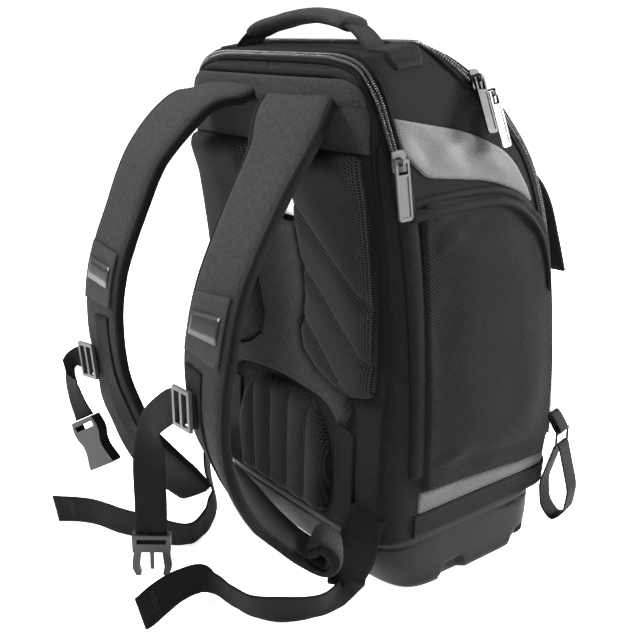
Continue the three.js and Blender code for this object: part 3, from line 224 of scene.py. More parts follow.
def surface(point, face):
    corners = [flat_points[i] for i in body_faces[face]]
    weights = poly_3d_calc(corners, point)
    normal = sum(w * flat_normals[i] for w, i in zip(weights, body_faces[face]))
    return np.array(point), unit(normal)


LOOKS = {
    "side": (lambda a, b: (260, a, b), (-1, 0, 0)),
    "back": (lambda a, b: (a, -260, b), (0, 1, 0)),
    "front": (lambda a, b: (a, 260, b), (0, -1, 0)),
    "top": (lambda a, b: (a, b, 700), (0, 0, -1)),
}


def cast(look, a, b):
    """The body's surface and normal where a ray from one side meets it."""
    place, way = LOOKS[look]
    point, _, face, _ = tree.ray_cast(Vector(place(a, b)), Vector(way))
    if point is None:
        point, _, face, _ = tree.find_nearest(Vector(place(a, b)))
    return surface(point, face)


def nearest(point):
    found, _, face, _ = tree.find_nearest(Vector(point))
    return surface(found, face)


# ------------------------------------------------------------------ making pieces
def make(name, points, faces, materials, uv=None, face_materials=None, slot=None, replaces=(), body="pack"):
    mesh = bpy.data.meshes.new(name)
    mesh.from_pydata([tuple(p) for p in np.asarray(points, float) * MM], [], [tuple(f) for f in faces])
    for material in materials:
        mesh.materials.append(material)
    if face_materials is not None:
        mesh.polygons.foreach_set("material_index", list(face_materials))
    mesh.polygons.foreach_set("use_smooth", [True] * len(mesh.polygons))
    if uv is not None:
        layer = mesh.uv_layers.new(name="cut")
        index = np.empty(len(mesh.loops), int)
        mesh.loops.foreach_get("vertex_index", index)
        layer.data.foreach_set("uv", (np.asarray(uv, float)[index] * MM).ravel())
    mesh.update()
    piece = bpy.data.objects.new(name, mesh)
    bpy.context.collection.objects.link(piece)
    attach(piece, body)
    if replaces:
        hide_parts(*([replaces] if isinstance(replaces, str) else replaces))
    return piece


def mirrored(points, faces):
    return np.asarray(points) * (-1, 1, 1), [tuple(reversed(f)) for f in faces]


def outline(corners, step=3.0):
    """A closed run of points through corners (a, b, round), each corner rounded by its own size."""
    count = len(corners)
    at = [np.array(c[:2], float) for c in corners]
    run = []
    for i, corner in enumerate(corners):
        here, before, after = at[i], at[i - 1] - at[i], at[(i + 1) % count] - at[i]
        size = min(
            corner[2] if len(corner) > 2 else 0, np.linalg.norm(before) * 0.49,
            np.linalg.norm(after) * 0.49,
        )
        entry, leave = here + unit(before) * size, here + unit(after) * size
        if size > 0:
            for t in np.linspace(0, 1, max(3, int(size / 2) + 2)):
                run.append(entry * (1 - t) ** 2 + here * 2 * t * (1 - t) + leave * t * t)
        else:
            run.append(here)
    return spaced(run, step, closed=True)


def spaced(run, step, closed=False):
    """Adds points along a run so that none is further than a step from the next."""
    out = []
    pairs = list(zip(run, run[1:] + run[:1] if closed else run[1:]))
    for a, b in pairs:
        count = max(1, math.ceil(np.linalg.norm(b - a) / step))
        out += [a + (b - a) * k / count for k in range(count)]
    if not closed:
        out.append(run[-1])
    return np.array(out)


def even(run, step):
    """Points at even distances along a run."""
    run = np.asarray(run, float)
    lengths = np.concatenate([[0], np.cumsum(np.linalg.norm(np.diff(run, axis=0), axis=1))])
    count = max(2, int(lengths[-1] / step) + 1)
    target = np.linspace(0, lengths[-1], count)
    return np.stack([np.interp(target, lengths, run[:, i]) for i in range(run.shape[1])], 1)


def distance(points, run, closed=True):
    points = np.atleast_2d(points)
    starts = np.asarray(run)
    ends = np.roll(starts, -1, axis=0)
    if not closed:
        starts, ends = starts[:-1], ends[:-1]
    way = ends - starts
    size = np.maximum((way ** 2).sum(1), 1e-9)
    best = np.full(len(points), 1e9)
    for a, w, q in zip(starts, way, size):
        t = np.clip(((points - a) @ w) / q, 0, 1)
        best = np.minimum(best, np.linalg.norm(points - a - t[:, None] * w, axis=1))
    return best


def inside(points, run):
    points = np.atleast_2d(points)
    result = np.zeros(len(points), bool)
    for a, b in zip(run, np.roll(run, -1, axis=0)):
        crosses = (a[1] > points[:, 1]) != (b[1] > points[:, 1])
        at = (b[0] - a[0]) * (points[:, 1] - a[1]) / (b[1] - a[1] + 1e-12) + a[0]
        result ^= crosses & (points[:, 0] < at)
    return result


def rounded(depth, radius):
    """Height share of a rounded edge, at a distance in from it."""
    share = 1 - np.clip(np.asarray(depth, float) / radius, 0, 1)
    return np.sqrt(np.maximum(1 - share * share, 0))


class Relief:
    """A cloth piece that stands proud of the body over an outline drawn from one side."""

    def __init__(self, look, edge, height, spacing=4.0, edge_steps=(0.15, 0.6, 1.5, 3.0), lines=()):
        self.look, self.edge, self.height = look, np.asarray(edge), height
        area = np.roll(self.edge, -1, axis=0)
        if (self.edge[:, 0] * area[:, 1] - self.edge[:, 1] * area[:, 0]).sum() < 0:
            self.edge = self.edge[::-1]
        way = unit(np.roll(self.edge, -1, axis=0) - np.roll(self.edge, 1, axis=0))
        self.inward = np.stack([-way[:, 1], way[:, 0]], 1)
        extra = []
        for size in edge_steps:
            moved = self.edge + self.inward * size
            keep = (distance(moved, self.edge) > size * 0.93) & inside(moved, self.edge)
            extra.append(moved[keep])
        low, high = self.edge.min(0), self.edge.max(0)
        near, far = np.meshgrid(
            np.arange(low[0], high[0], spacing), np.arange(low[1], high[1], spacing * 0.87), indexing="ij",
        )
        near = near + (np.arange(far.shape[1]) % 2) * spacing / 2
        grid = np.stack([near.ravel(), far.ravel()], 1)
        grid = grid[inside(grid, self.edge)]
        grid = grid[distance(grid, self.edge) > edge_steps[-1] + spacing * 0.45]
        for line, half in lines:
            line = even(line, 2.4)
            grid = grid[distance(grid, line, closed=False) > half * 1.15]
            way = unit(np.gradient(line, axis=0))
            side = np.stack([-way[:, 1], way[:, 0]], 1)
            for share in (-1, -0.66, -0.36, -0.12, 0.12, 0.36, 0.66, 1):
                moved = line + side * half * share
                keep = inside(moved, self.edge) & (distance(moved, self.edge) > edge_steps[-1] + 0.8)
                extra.append(moved[keep])
        points = np.concatenate([self.edge, *extra, grid])
        count = len(self.edge)
        links = [(i, (i + 1) % count) for i in range(count)]
        flat, _, faces, *_ = delaunay_2d_cdt([Vector(p) for p in points], links, [], 1, 1e-4)
        self.flat = np.array([tuple(v) for v in flat])
        self.faces = [tuple(f) for f in faces]
        depth = distance(self.flat, self.edge)
        heights = height(self.flat, depth)
        self.points = np.array([
            self.lift(p, h if d > 0.02 else RIM_LIFT)[0] for p, h, d in zip(self.flat, heights, depth)
        ])
        a, b, c = (self.points[[f[i] for f in self.faces]] for i in range(3))
        way = -np.array(LOOKS[look][1], float)
        if (np.cross(b - a, c - a) @ way).sum() < 0:
            self.faces = [tuple(reversed(f)) for f in self.faces]

    def lift(self, spot, height):
        point, normal = cast(self.look, *spot)
        return point + normal * height, normal

    def on_top(self, run, extra=0.2):
        run = np.asarray(run)
        heights = self.height(run, distance(run, self.edge))
        found = [self.lift(p, h + extra) for p, h in zip(run, heights)]
        return np.array([f[0] for f in found]), np.array([f[1] for f in found])

    def seam(self, inset, step=2.0, keep=None):
        """Runs of points on the piece, at a distance in from its edge."""
        moved = even(
            np.concatenate([self.edge + self.inward * inset, self.edge[:1] + self.inward[:1] * inset]),
            step,
        )
        good = (distance(moved, self.edge) > inset * 0.9) & inside(moved, self.edge)
        if keep is not None:
            good &= keep(moved)
        runs, run = [], []
        for p, ok in zip(moved, good):
            if ok:
                run.append(p)
            elif run:
                runs.append(run)
                run = []
        runs.append(run)
        return [np.array(r) for r in runs if len(r) > 2]

    def build(self, name, materials, **options):
        return make(name, self.points, self.faces, materials, uv=self.flat, **options)

    def build_pair(self, name, materials, node=None, **options):
        pieces = [
            self.build(f"{name}_right", materials, replaces=f"{node}_right" if node else (), **options)
        ]
        points, faces = mirrored(self.points, self.faces)
        pieces.append(make(
            f"{name}_left", points, faces, materials, uv=self.flat,
            replaces=f"{node}_left" if node else (), **options,
        ))
        return pieces


# ------------------------------------------------------------------ curves, bands and ribbons
def route(points, t):
    """A point on a smooth curve through points, which it passes at even shares of t."""
    points = np.asarray(points, float)
    last = len(points) - 1
    place = last * t
    row = min(int(place), last - 1)
    weight = place - row
    p1, p2 = points[row], points[row + 1]
    p0 = points[row - 1] if row > 0 else 2 * points[0] - points[1]
    p3 = points[row + 2] if row + 2 <= last else 2 * points[last] - points[last - 1]
    d0, d1, d2 = (max(((b - a) ** 2).sum() ** 0.25, 1e-4) for a, b in ((p0, p1), (p1, p2), (p2, p3)))
    t1 = ((p1 - p0) / d0 - (p2 - p0) / (d0 + d1) + (p2 - p1) / d1) * d1
    t2 = ((p2 - p1) / d1 - (p3 - p1) / (d1 + d2) + (p3 - p2) / d2) * d1
    return (
        p1 + t1 * weight + (-3 * p1 + 3 * p2 - 2 * t1 - t2) * weight ** 2
        + (2 * p1 - 2 * p2 + t1 + t2) * weight ** 3
    )


def frames_on(centres, ways, halves, steps):
    found = []
    for i in range(steps + 1):
        t = i / steps
        low, high = max(t - 1e-3, 0), min(t + 1e-3, 1)
        tangent = unit(route(centres, high) - route(centres, low))
        across = route(ways, t)
        across = unit(across - tangent * (across @ tangent))
        place = t * (len(halves) - 1)
        found.append({
            "point": route(centres, t), "tangent": tangent, "across": across,
            "out": unit(np.cross(tangent, across)),
            "half": float(np.interp(place, range(len(halves)), halves)), "t": t,
        })
    run = 0
    for i, item in enumerate(found):
        if i:
            run += np.linalg.norm(item["point"] - found[i - 1]["point"])
        item["run"] = run
    return found


def band_frames(rows, steps_a_row=8):
    """Rows hold x, y, z, half width, turn and tip in degrees."""
    ways = []
    for row in rows:
        turn, tip = math.radians(row[4]), math.radians(row[5] if len(row) > 5 else 0)
        ways.append((math.cos(turn) * math.cos(tip), math.sin(turn) * math.cos(tip), math.sin(tip)))
    return frames_on([r[:3] for r in rows], ways, [r[3] for r in rows], (len(rows) - 1) * steps_a_row)


def edge_frames(rows, width, steps_a_row=8):
    """Rows hold a lower edge point and a point over it."""
    centres, ways = [], []
    for edge, over in rows:
        edge, over = np.array(edge, float), np.array(over, float)
        across = unit(over - edge)
        centres.append(edge + across * width / 2)
        ways.append(across)
    return frames_on(centres, ways, [width / 2] * len(rows), (len(rows) - 1) * steps_a_row)


def sweep(frames, section, caps=True):
    """Points, faces and cut sizes of a closed section, given for each frame as (across, out)."""
    rings = [np.asarray(section(item), float) for item in frames]
    count = len(rings[0])
    points = np.array([
        item["point"] + item["across"] * a + item["out"] * o
        for item, ring in zip(frames, rings) for a, o in ring
    ])
    faces = grid_faces(len(rings), count)
    uv = []
    for item, ring in zip(frames, rings):
        girth = np.concatenate([[0], np.cumsum(np.linalg.norm(np.diff(ring, axis=0), axis=1))])
        uv += [(g, item["run"]) for g in girth]
    if caps:
        faces.append(tuple(range(count))[::-1])
        faces.append(tuple(range((len(rings) - 1) * count, len(rings) * count)))
    return points, [tuple(reversed(f)) for f in faces], uv


def ribbon_section(width, ply, shift=0.0, lift=None, steps=10, crown_rise=0.0):
    """A flat section with rounded edges, as a closed run of (across, out)."""
    lift = -ply / 2 if lift is None else lift
    a = np.linspace(-1, 1, steps)
    soft = ply / 2 * 0.55
    top = [(shift + k * (width / 2 - soft), lift + ply + crown_rise * (1 - k * k)) for k in a]
    bottom = [(shift + k * (width / 2 - soft), lift + crown_rise * (1 - k * k)) for k in a[::-1]]
    edge_right = [(shift + width / 2, lift + ply * 0.72), (shift + width / 2, lift + ply * 0.28)]
    edge_left = [(shift - width / 2, lift + ply * 0.28), (shift - width / 2, lift + ply * 0.72)]
    return top + edge_right + bottom + edge_left


def ride_on(frames, across, out):
    return np.array([f["point"] + f["across"] * across + f["out"] * out for f in frames])


# ------------------------------------------------------------------ thread
thread_points, thread_faces = [], []
pale_points, pale_faces = [], []


def stitches(points, normals, length=2.6, space=1.3, thick=0.42, pale=False):
    """Lays short stitches along a run of points on a cloth."""
    points, normals = np.asarray(points, float), np.asarray(normals, float)
    if len(points) < 2:
        return
    store, sides = (pale_points, pale_faces) if pale else (thread_points, thread_faces)
    lengths = np.concatenate([[0], np.cumsum(np.linalg.norm(np.diff(points, axis=0), axis=1))])
    at = lambda s: np.array([np.interp(s, lengths, points[:, i]) for i in range(3)])
    facing = lambda s: unit(np.array([np.interp(s, lengths, normals[:, i]) for i in range(3)]))
    start = space
    while start + length < lengths[-1]:
        a, b, normal = at(start), at(start + length), facing(start + length / 2)
        way = unit(b - a)
        side = np.cross(way, normal) * thick
        base = len(store)
        mid = (a + b) / 2
        high = normal * thick * 0.9
        low = normal * 0.3
        store.extend([a - low, mid - side * 1.1, mid + high, mid + side * 1.1, b - low, mid - high])
        for f in ((0, 1, 2), (0, 2, 3), (0, 3, 5), (0, 5, 1), (4, 2, 1), (4, 3, 2), (4, 5, 3), (4, 1, 5)):
            sides.append(tuple(base + k for k in f))
        start += length + space


def stitch_relief(relief, inset, both=False, pale=False, keep=None):
    for run in relief.seam(inset, keep=keep):
        points, normals = relief.on_top(run)
        stitches(points, normals, pale=pale)
        if both:
            stitches(points * (-1, 1, 1), normals * (-1, 1, 1), pale=pale)


# ------------------------------------------------------------------ materials
def material(name, rough, metal=0.0, sheen=0.0, coat=0.0, specular=None):
    made = bpy.data.materials.new(name)
    made.use_nodes = True
    shader = made.node_tree.nodes["Principled BSDF"]
    shader.inputs["Roughness"].default_value = rough
    shader.inputs["Metallic"].default_value = metal
    shader.inputs["Sheen Weight"].default_value = sheen
    shader.inputs["Sheen Roughness"].default_value = 0.5
    shader.inputs["Coat Weight"].default_value = coat
    shader.inputs["Coat Roughness"].default_value = 0.3
    if specular is not None:
        shader.inputs["Specular IOR Level"].default_value = specular
    return made, Wires(made.node_tree), shader


class Wires:
    """Short ways to lay nodes."""

    def __init__(self, nodes):
        self.nodes = nodes

    def put(self, kind, values=(), **settings):
        made = self.nodes.nodes.new(kind)
        for key, value in settings.items():
            setattr(made, key, value)
        for key, value in dict(values).items():
            self.give(made.inputs[key], value)
        return made

    def give(self, socket, value):
        if isinstance(value, bpy.types.NodeSocket):
            self.nodes.links.new(value, socket)
        elif value is not None:
            socket.default_value = value

    def sum(self, kind, a, b=None):
        values = {0: a} if b is None else {0: a, 1: b}
        return self.put("ShaderNodeMath", values, operation=kind).outputs[0]

    def cut(self):
        return self.put("ShaderNodeUVMap", uv_map="cut").outputs[0]

    def place(self):
        return self.put("ShaderNodeTexCoord").outputs["Object"]

    def parts(self, vector):
        return self.put("ShaderNodeSeparateXYZ", {0: vector}).outputs

    def vector(self, x, y, z=0.0):
        return self.put("ShaderNodeCombineXYZ", {0: x, 1: y, 2: z}).outputs[0]

    def scaled(self, vector, scale):
        return self.put("ShaderNodeMapping", {"Vector": vector, "Scale": scale}).outputs[0]

    def noise(self, vector, scale, detail=2.0, rough=0.5):
        return self.put("ShaderNodeTexNoise", {
            "Vector": vector, "Scale": scale, "Detail": detail, "Roughness": rough,
        }).outputs[0]

    def wave(self, value, pitch):
        turned = self.sum("MULTIPLY", value, 2 * math.pi / pitch)
        return self.sum("SINE", turned)

    def spread(self, value, low, high, to_low=0.0, to_high=1.0):
        return self.put("ShaderNodeMapRange", {0: value, 1: low, 2: high, 3: to_low, 4: to_high}).outputs[0]

    def blend(self, share, a, b):
        made = self.put("ShaderNodeMix", data_type="RGBA")
        for index, value in ((0, share), (6, a), (7, b)):
            self.give(
                made.inputs[index],
                (*value, 1) if isinstance(value, tuple) and len(value) == 3 else value,
            )
        return made.outputs[2]

    def bump(self, height, depth, strength=1.0, under=None):
        values = {"Height": height, "Distance": depth, "Strength": strength}
        if under is not None:
            values["Normal"] = under
        return self.put("ShaderNodeBump", values).outputs[0]


def grey(value, tint=(1, 1, 1)):
    return tuple(value * t for t in tint)


def cloth(
    name, dark, light, pitch, rough=0.9, sheen=0.2, kind="plain", tint=(1, 1, 1), wear=0.5, depth=0.25, rows=0.3,
):
    """Woven cloth: threads of varied shade in rows, their relief, broad variation, and pale wear."""
    made, w, shader = material(name, rough, sheen=sheen, specular=0.04)
    u, v, _ = w.parts(w.cut())
    wide = w.scaled(w.cut(), (1 / (pitch * MM), 0.16 / (pitch * MM), 1))
    tall = w.scaled(w.cut(), (0.16 / (pitch * MM), 1 / (pitch * MM), 1))
    warp, weft = w.noise(wide, 1.0, 1.0), w.noise(tall, 1.0, 1.0)
    if kind == "plain":
        over = w.sum("MULTIPLY", w.wave(u, pitch * 2 * MM), w.wave(v, pitch * 2 * MM))
    elif kind == "twill":
        over = w.wave(w.sum("ADD", w.sum("MULTIPLY", u, 0.8), v), pitch * 2 * MM)
        over = w.sum("ADD", over, w.sum("MULTIPLY", w.wave(u, pitch * MM), 0.35))
    else:
        zigzag = w.sum("PINGPONG", u, 4.2 * MM)
        over = w.wave(w.sum("ADD", zigzag, v), pitch * 2 * MM)
    mask = w.spread(over, -0.6, 0.6)
    threads = w.sum(
        "ADD", w.sum("MULTIPLY", warp, mask), w.sum("MULTIPLY", weft, w.sum("SUBTRACT", 1.0, mask)),
    )
    shade = w.sum(
        "ADD", w.sum("MULTIPLY", mask, rows), w.sum("MULTIPLY", w.spread(threads, 0.3, 0.7), 1 - rows),
    )
    broad = w.spread(w.noise(w.place(), 9.0, 3.0), 0.3, 0.7)
    lint = w.spread(w.noise(w.place(), 260.0, 2.0, 0.7), 0.62, 0.8)
    colour = w.blend(shade, grey(dark, tint), grey(light, tint))
    colour = w.blend(w.sum("MULTIPLY", broad, 0.35), colour, grey(dark * 0.75, tint))
    colour = w.blend(w.sum("MULTIPLY", lint, wear * 0.3), colour, grey(light * 1.7 + 0.01, tint))
    w.give(shader.inputs["Base Color"], colour)
    fuzz = w.noise(w.place(), 900.0, 1.0)
    height = w.sum("ADD", w.sum("MULTIPLY", mask, 0.7), w.sum("MULTIPLY", fuzz, 0.5))
    low = w.bump(w.noise(w.place(), 38.0, 3.0), 0.9 * MM, 0.35)
    w.give(shader.inputs["Normal"], w.bump(height, depth * MM, 0.9, low))
    w.give(shader.inputs["Roughness"], w.spread(shade, 0, 1, rough + 0.06, rough - 0.12))
    w.give(shader.inputs["Sheen Tint"], (0.7, 0.7, 0.72, 1))
    return made


def spacer_mesh(name, thread, hole, pitch=2.2, tint=(1, 1, 0.94)):
    """Open spacer mesh: rows of holes between fine yarns, over a darker ground."""
    made, w, shader = material(name, 0.85, sheen=0.01, specular=0.05)
    u, v, _ = w.parts(w.cut())
    total = None
    for angle in (0, 60, 120):
        a = math.radians(angle)
        along = w.sum("ADD", w.sum("MULTIPLY", u, math.cos(a)), w.sum("MULTIPLY", v, math.sin(a) * 0.86))
        ripple = w.sum("COSINE", w.sum("MULTIPLY", along, 2 * math.pi / (pitch * 0.87 * MM)))
        total = ripple if total is None else w.sum("ADD", total, ripple)
    yarn = w.spread(total, 1.5, -0.4)
    broad = w.spread(w.noise(w.place(), 14.0, 3.0), 0.3, 0.7)
    fine = w.spread(w.noise(w.place(), 700.0, 1.0), 0.25, 0.75)
    yarn_colour = w.blend(fine, grey(thread * 0.7, tint), grey(thread * 1.35, tint))
    yarn_colour = w.blend(w.sum("MULTIPLY", broad, 0.4), yarn_colour, grey(thread * 0.6, tint))
    w.give(shader.inputs["Base Color"], w.blend(yarn, grey(hole), yarn_colour))
    w.give(shader.inputs["Normal"], w.bump(yarn, 0.9 * MM, 1.0))
    w.give(shader.inputs["Roughness"], w.spread(yarn, 0, 1, 1.0, 0.72))
    return made


def hard(name, colour, rough, metal=0.0, grain=0.08, scratch=0.2, coat=0.0, specular=0.4):
    """Moulded plastic or metal: fine grain, smudges in the gloss, and faint scuffs."""
    made, w, shader = material(name, rough, metal=metal, coat=coat, specular=specular)
    smudge = w.spread(w.noise(w.place(), 30.0, 4.0, 0.6), 0.3, 0.7)
    scuff = w.spread(w.noise(w.scaled(w.place(), (1, 1, 0.12)), 520.0, 3.0, 0.7), 0.58, 0.75)
    base = w.blend(w.sum("MULTIPLY", smudge, 0.35), colour, tuple(c * 0.72 for c in colour))
    base = w.blend(w.sum("MULTIPLY", scuff, scratch), base, tuple(min(c * 1.5 + 0.03, 1) for c in colour))
    w.give(shader.inputs["Base Color"], base)
    w.give(
        shader.inputs["Roughness"],
        w.spread(w.sum("ADD", smudge, scuff), 0, 2, rough - 0.06, rough + 0.16),
    )
    w.give(shader.inputs["Normal"], w.bump(w.noise(w.place(), 900.0, 2.0), grain * MM, 0.6))
    return made


heather = cloth("heather", 0.006, 0.026, 1.05, kind="plain", sheen=0.02)
heather_dark = cloth("heather_dark", 0.004, 0.019, 1.05, kind="plain", sheen=0.01)
# Gusset cloth: a darker copy of the heather, partly the side wall's own darker tone and partly painted shade for
# the lower wall, which gets less light from above.
gusset_dark_and_shaded = cloth("gusset_dark_and_shaded", 0.002, 0.01, 1.05, kind="plain", sheen=0.01)
dobby = cloth(
    "dobby", 0.0006, 0.014, 1.3, kind="twill", tint=(1, 1, 1.08), sheen=0.01, depth=0.5, rows=0.75,
)
pocket_cloth = cloth(
    "pocket_cloth", 0.0005, 0.0125, 1.3, kind="twill", tint=(1, 1, 1.16), sheen=0.01, depth=0.6,
    rows=0.75,
)
silver = cloth(
    "silver_cloth", 0.032, 0.085, 1.1, rough=0.5, kind="twill", tint=(1, 1, 1.03), wear=0.1, depth=0.2,
    rows=0.65,
)
strip_grey = cloth("strip_cloth", 0.02, 0.062, 1.1, rough=0.6, kind="twill", wear=0.1, rows=0.65)
webbing = cloth("webbing", 0.001, 0.008, 0.9, rough=0.7, kind="chevron", sheen=0.01, depth=0.35, rows=0.65)
tape = cloth("zip_tape", 0.001, 0.004, 0.8, rough=0.8, kind="chevron", sheen=0.0)
binding = cloth("binding", 0.001, 0.005, 0.8, rough=0.75, kind="plain", sheen=0.01)
coarse = cloth("coarse_patch", 0.006, 0.032, 1.6, rough=0.7, kind="plain", sheen=0.01, depth=0.7, rows=0.7)
label = cloth("label", 0.66, 0.78, 0.5, rough=0.6, kind="twill", wear=0.1, depth=0.1)
mesh_cloth = spacer_mesh("mesh", 0.016, 0.001, pitch=2.0)
moulded = hard("moulded", grey(0.0028), 0.5, grain=0.12, scratch=0.02, specular=0.1)
bright_metal = hard("bright_metal", grey(0.09), 0.52, metal=1.0, grain=0.02, scratch=0.15)
dark_metal = hard("dark_metal", grey(0.014), 0.52, metal=1.0, grain=0.02, scratch=0.2)
black_plastic = hard("hard_plastic", grey(0.004), 0.36, grain=0.05, scratch=0.05, specular=0.25)
grey_plastic = hard("grey_plastic", grey(0.015, (1, 1, 0.96)), 0.42, grain=0.05, scratch=0.1, specular=0.25)
coil = hard("zip_coil", grey(0.012), 0.28, grain=0.03, scratch=0.2, coat=0.35)
thread = hard("thread", grey(0.01), 0.7, grain=0.05, scratch=0.3, specular=0.1)
pale_thread = hard("pale_thread", grey(0.04), 0.7, grain=0.05, scratch=0.3, specular=0.1)

# ------------------------------------------------------------------ main body, split at the laptop zip


def divider_at(z):
    return (
        DIVIDER_FOOT
        - DIVIDER_SWEEP * np.clip((z - BASE_HEIGHT) / (BACK_TOP - BASE_HEIGHT), 0, 1) ** DIVIDER_CURL
    )


girth = np.concatenate([[0], np.cumsum(np.linalg.norm(np.diff(body_grid[40], axis=0), axis=1))])
climb = np.concatenate(
    [[0], np.cumsum(np.linalg.norm(np.diff(body_grid[:, LOOP_POINTS // 4], axis=0), axis=1))],
)
body_uv = [(girth[i], climb[r]) for r in range(len(body_grid)) for i in range(LOOP_POINTS)]
crown_foot = 446
for name, node, behind in (("laptop_body", "laptop_shell", True), ("main_body", "main_shell", False)):
    faces, slots = [], []
    for face in grid_faces(len(body_grid), LOOP_POINTS):
        centre = body_grid.reshape(-1, 3)[list(face)].mean(0)
        if (centre[1] < divider_at(centre[2])) == behind:
            faces.append(face)
            # Above the crown foot the laptop side takes the lighter heather_dark cloth; below it, the darker
            # gusset cloth, whose extra darkness is partly painted shade.
            slots.append(int(behind and centre[2] > crown_foot))
    looks = [gusset_dark_and_shaded, heather_dark] if behind else [dobby]
    make(
        name, body_grid.reshape(-1, 3), faces, looks, body_uv, slots,
        slot="heather" if behind else "dobby", replaces=node,
    )

# ------------------------------------------------------------------ moulded base
tub_rows = [
    (0.0, FOOT_INSET + 2.2), (0.012, FOOT_INSET + 0.8), (0.03, FOOT_INSET), (0.1, FOOT_INSET * 0.55),
    *[(h, FOOT_INSET * (0.55 - 0.3 * (h - 0.1) / 0.4)) for h in np.linspace(0.13, 0.47, 12)],
    (0.5, FOOT_INSET * 0.25), (0.6, 0.9), (0.7, 1.1), (0.765, 1.2), (0.785, 1.6), (0.8, 2.4),
    (0.84, 2.4), (0.855, 1.1),
    (0.865, 0.6), (0.9, 0.4), (0.96, 0.15), (0.985, 0.3), (1.0, 1.0), (1.0, BASE_WALL), (0.7, BASE_WALL),
]
rim_half = SECTIONS[0][4] * BODY_HALF - BASE_INSET
rim_back = SECTIONS[0][2] * BACK_REACH - BASE_INSET
rim_front = SECTIONS[0][3] * FRONT_REACH - BASE_INSET
TUB_POINTS = 420


def notch_share(along, width, height):
    half = width * (0.5 - 0.2 * np.clip(height / NOTCH_HEIGHT, 0, 1))
    return smooth(half + 1.5, half - 1.5, np.abs(along)) * smooth(
        NOTCH_HEIGHT + 1.5, NOTCH_HEIGHT - 3.5, height,
    )


tub = []
for share, inset in tub_rows:
    height = share * BASE_HEIGHT
    lean = BASE_LEAN * max(1 - share, 0) ** 1.6
    loop = rounded_loop(
        rim_half - inset, rim_back - inset - lean, rim_front - inset - lean * 0.3, SQUARENESS * 0.7,
        TUB_POINTS,
    )
    ring = np.column_stack([loop, np.full(TUB_POINTS, height)])
    side = np.abs(ring[:, 0]) > rim_half - 14
    for at, width in ((-0.06, 34), (0.7, 26)):
        cut = notch_share(ring[:, 1] - at * rim_front, width, height) * side * (FOOT_INSET + 3)
        ring[:, 0] -= np.sign(ring[:, 0]) * cut
    for at in (-0.4, 0.4):
        share_cut = notch_share(ring[:, 0] - at * rim_half, 32, height)
        ring[:, 1] += share_cut * (ring[:, 1] < -rim_back + lean + 20) * NOTCH_DEPTH * 0.9
        ring[:, 1] -= share_cut * (ring[:, 1] > rim_front - 26) * NOTCH_DEPTH * 0.55
    tub.append(ring)
tub = np.array([tub[0].mean(0) + (tub[0] - tub[0].mean(0)) * (k, k, 1) for k in (0.0, 0.5, 0.9)] + tub)
tub_uv = [(g, ring[0][2]) for ring in tub for g in np.linspace(0, 900, TUB_POINTS)]
make(
    "base_moulding", tub.reshape(-1, 3), grid_faces(len(tub), TUB_POINTS), [moulded], tub_uv,
    slot="moulded", replaces="base_tub",
)


# ------------------------------------------------------------------ bands round the body
def slice_at(z):
    """Points and normals of the body at one height, column by column."""
    columns = body_grid[:SIDE_ROWS, :, 2]
    row = np.clip((columns < z).sum(0), 1, SIDE_ROWS - 1)
    i = np.arange(LOOP_POINTS)
    low, high = columns[row - 1, i], columns[row, i]
    share = np.clip((z - low) / (high - low), 0, 1)[:, None]
    points = body_grid[row - 1, i] * (1 - share) + body_grid[row, i] * share
    normals = body_normals[row - 1, i] * (1 - share) + body_normals[row, i] * share
    points[:, 2] = z
    return points, unit(normals)


band_rows = [
    (0.8, -0.5), (0.8, 1.2), (1.2, 2.0), (2.5, 2.3), (7, 2.2), (12, 2.35), (17, 2.2), (21.5, 2.3),
    (23.2, 1.9), (23.8, 1.0), (23.8, -0.5),
]
band_points, band_uv = [], []
columns = None
for rise, offset in band_rows:
    points, normals = slice_at(BASE_HEIGHT + rise)
    if columns is None:
        wanted = points[:, 1] > DIVIDER_FOOT
        columns = [i for i in range(LOOP_POINTS) if wanted[i]]
    chosen = points[columns] + normals[columns] * offset
    band_points.append(chosen)
    band_uv += [(rise, g) for g in girth[columns]]
make(
    "base_band", np.concatenate(band_points), grid_faces(len(band_rows), len(columns), wrap=False),
    [webbing], band_uv,
    slot="webbing", replaces="base_webbing",
)
for rise in (3.4, 20.6):
    points, normals = slice_at(BASE_HEIGHT + rise)
    stitches(points[columns] + normals[columns] * 2.5, normals[columns], pale=True)

# ------------------------------------------------------------------ side panels
chain_clear = CHAIN_WIDTH / 2 + GAP + 1
strip_edge = outline([
    (divider_at(BAND_TOP) + chain_clear, BAND_TOP + GAP), (FRONT_REACH * 0.84, BAND_TOP + GAP),
    (FRONT_REACH * 0.86, BAND_TOP + GAP + STRIP_HEIGHT * 0.45),
    (divider_at(BAND_TOP) + chain_clear, BAND_TOP + GAP + STRIP_HEIGHT),
])
strip = Relief("side", strip_edge, lambda p, d: 0.3 + 0.9 * rounded(d, 1.5), spacing=5)
strip.build_pair("grey_strip_cloth", [strip_grey], "grey_strip", slot="silver_cloth")
stitch_relief(strip, 2.2, both=True)

silver_edge = outline([
    (divider_at(SILVER_BACK) + chain_clear, SILVER_BACK), (-12, SILVER_BACK - 15, 30),
    (34, SILVER_FRONT, 20), (58, POCKET_TOP - 2, 20), (64, POCKET_TOP - 16, 4),
    (46, POCKET_TOP - 4, 24), (10, POCKET_TOP + 9, 30),
    (divider_at(POCKET_TOP) + chain_clear + 16, POCKET_TOP + 18, 6), (divider_at(400) + chain_clear, 404),
])


def silver_height(p, d):
    waves = 1.5 * np.sin(p[:, 0] / 9.5 + 0.8 + p[:, 1] * 0.012) * bump((p[:, 0] + 55) / 42)
    waves += 1.1 * np.sin(p[:, 0] / 12.0 + p[:, 1] / 30.0) * bump((p[:, 0] - 5) / 40)
    return 0.3 + (1.7 + waves * smooth(3, 16, d)) * rounded(d, 2.0)


band = Relief("side", silver_edge, silver_height, spacing=3.4)
band.build_pair("silver_band_cloth", [silver], "silver_band", slot="silver_cloth")

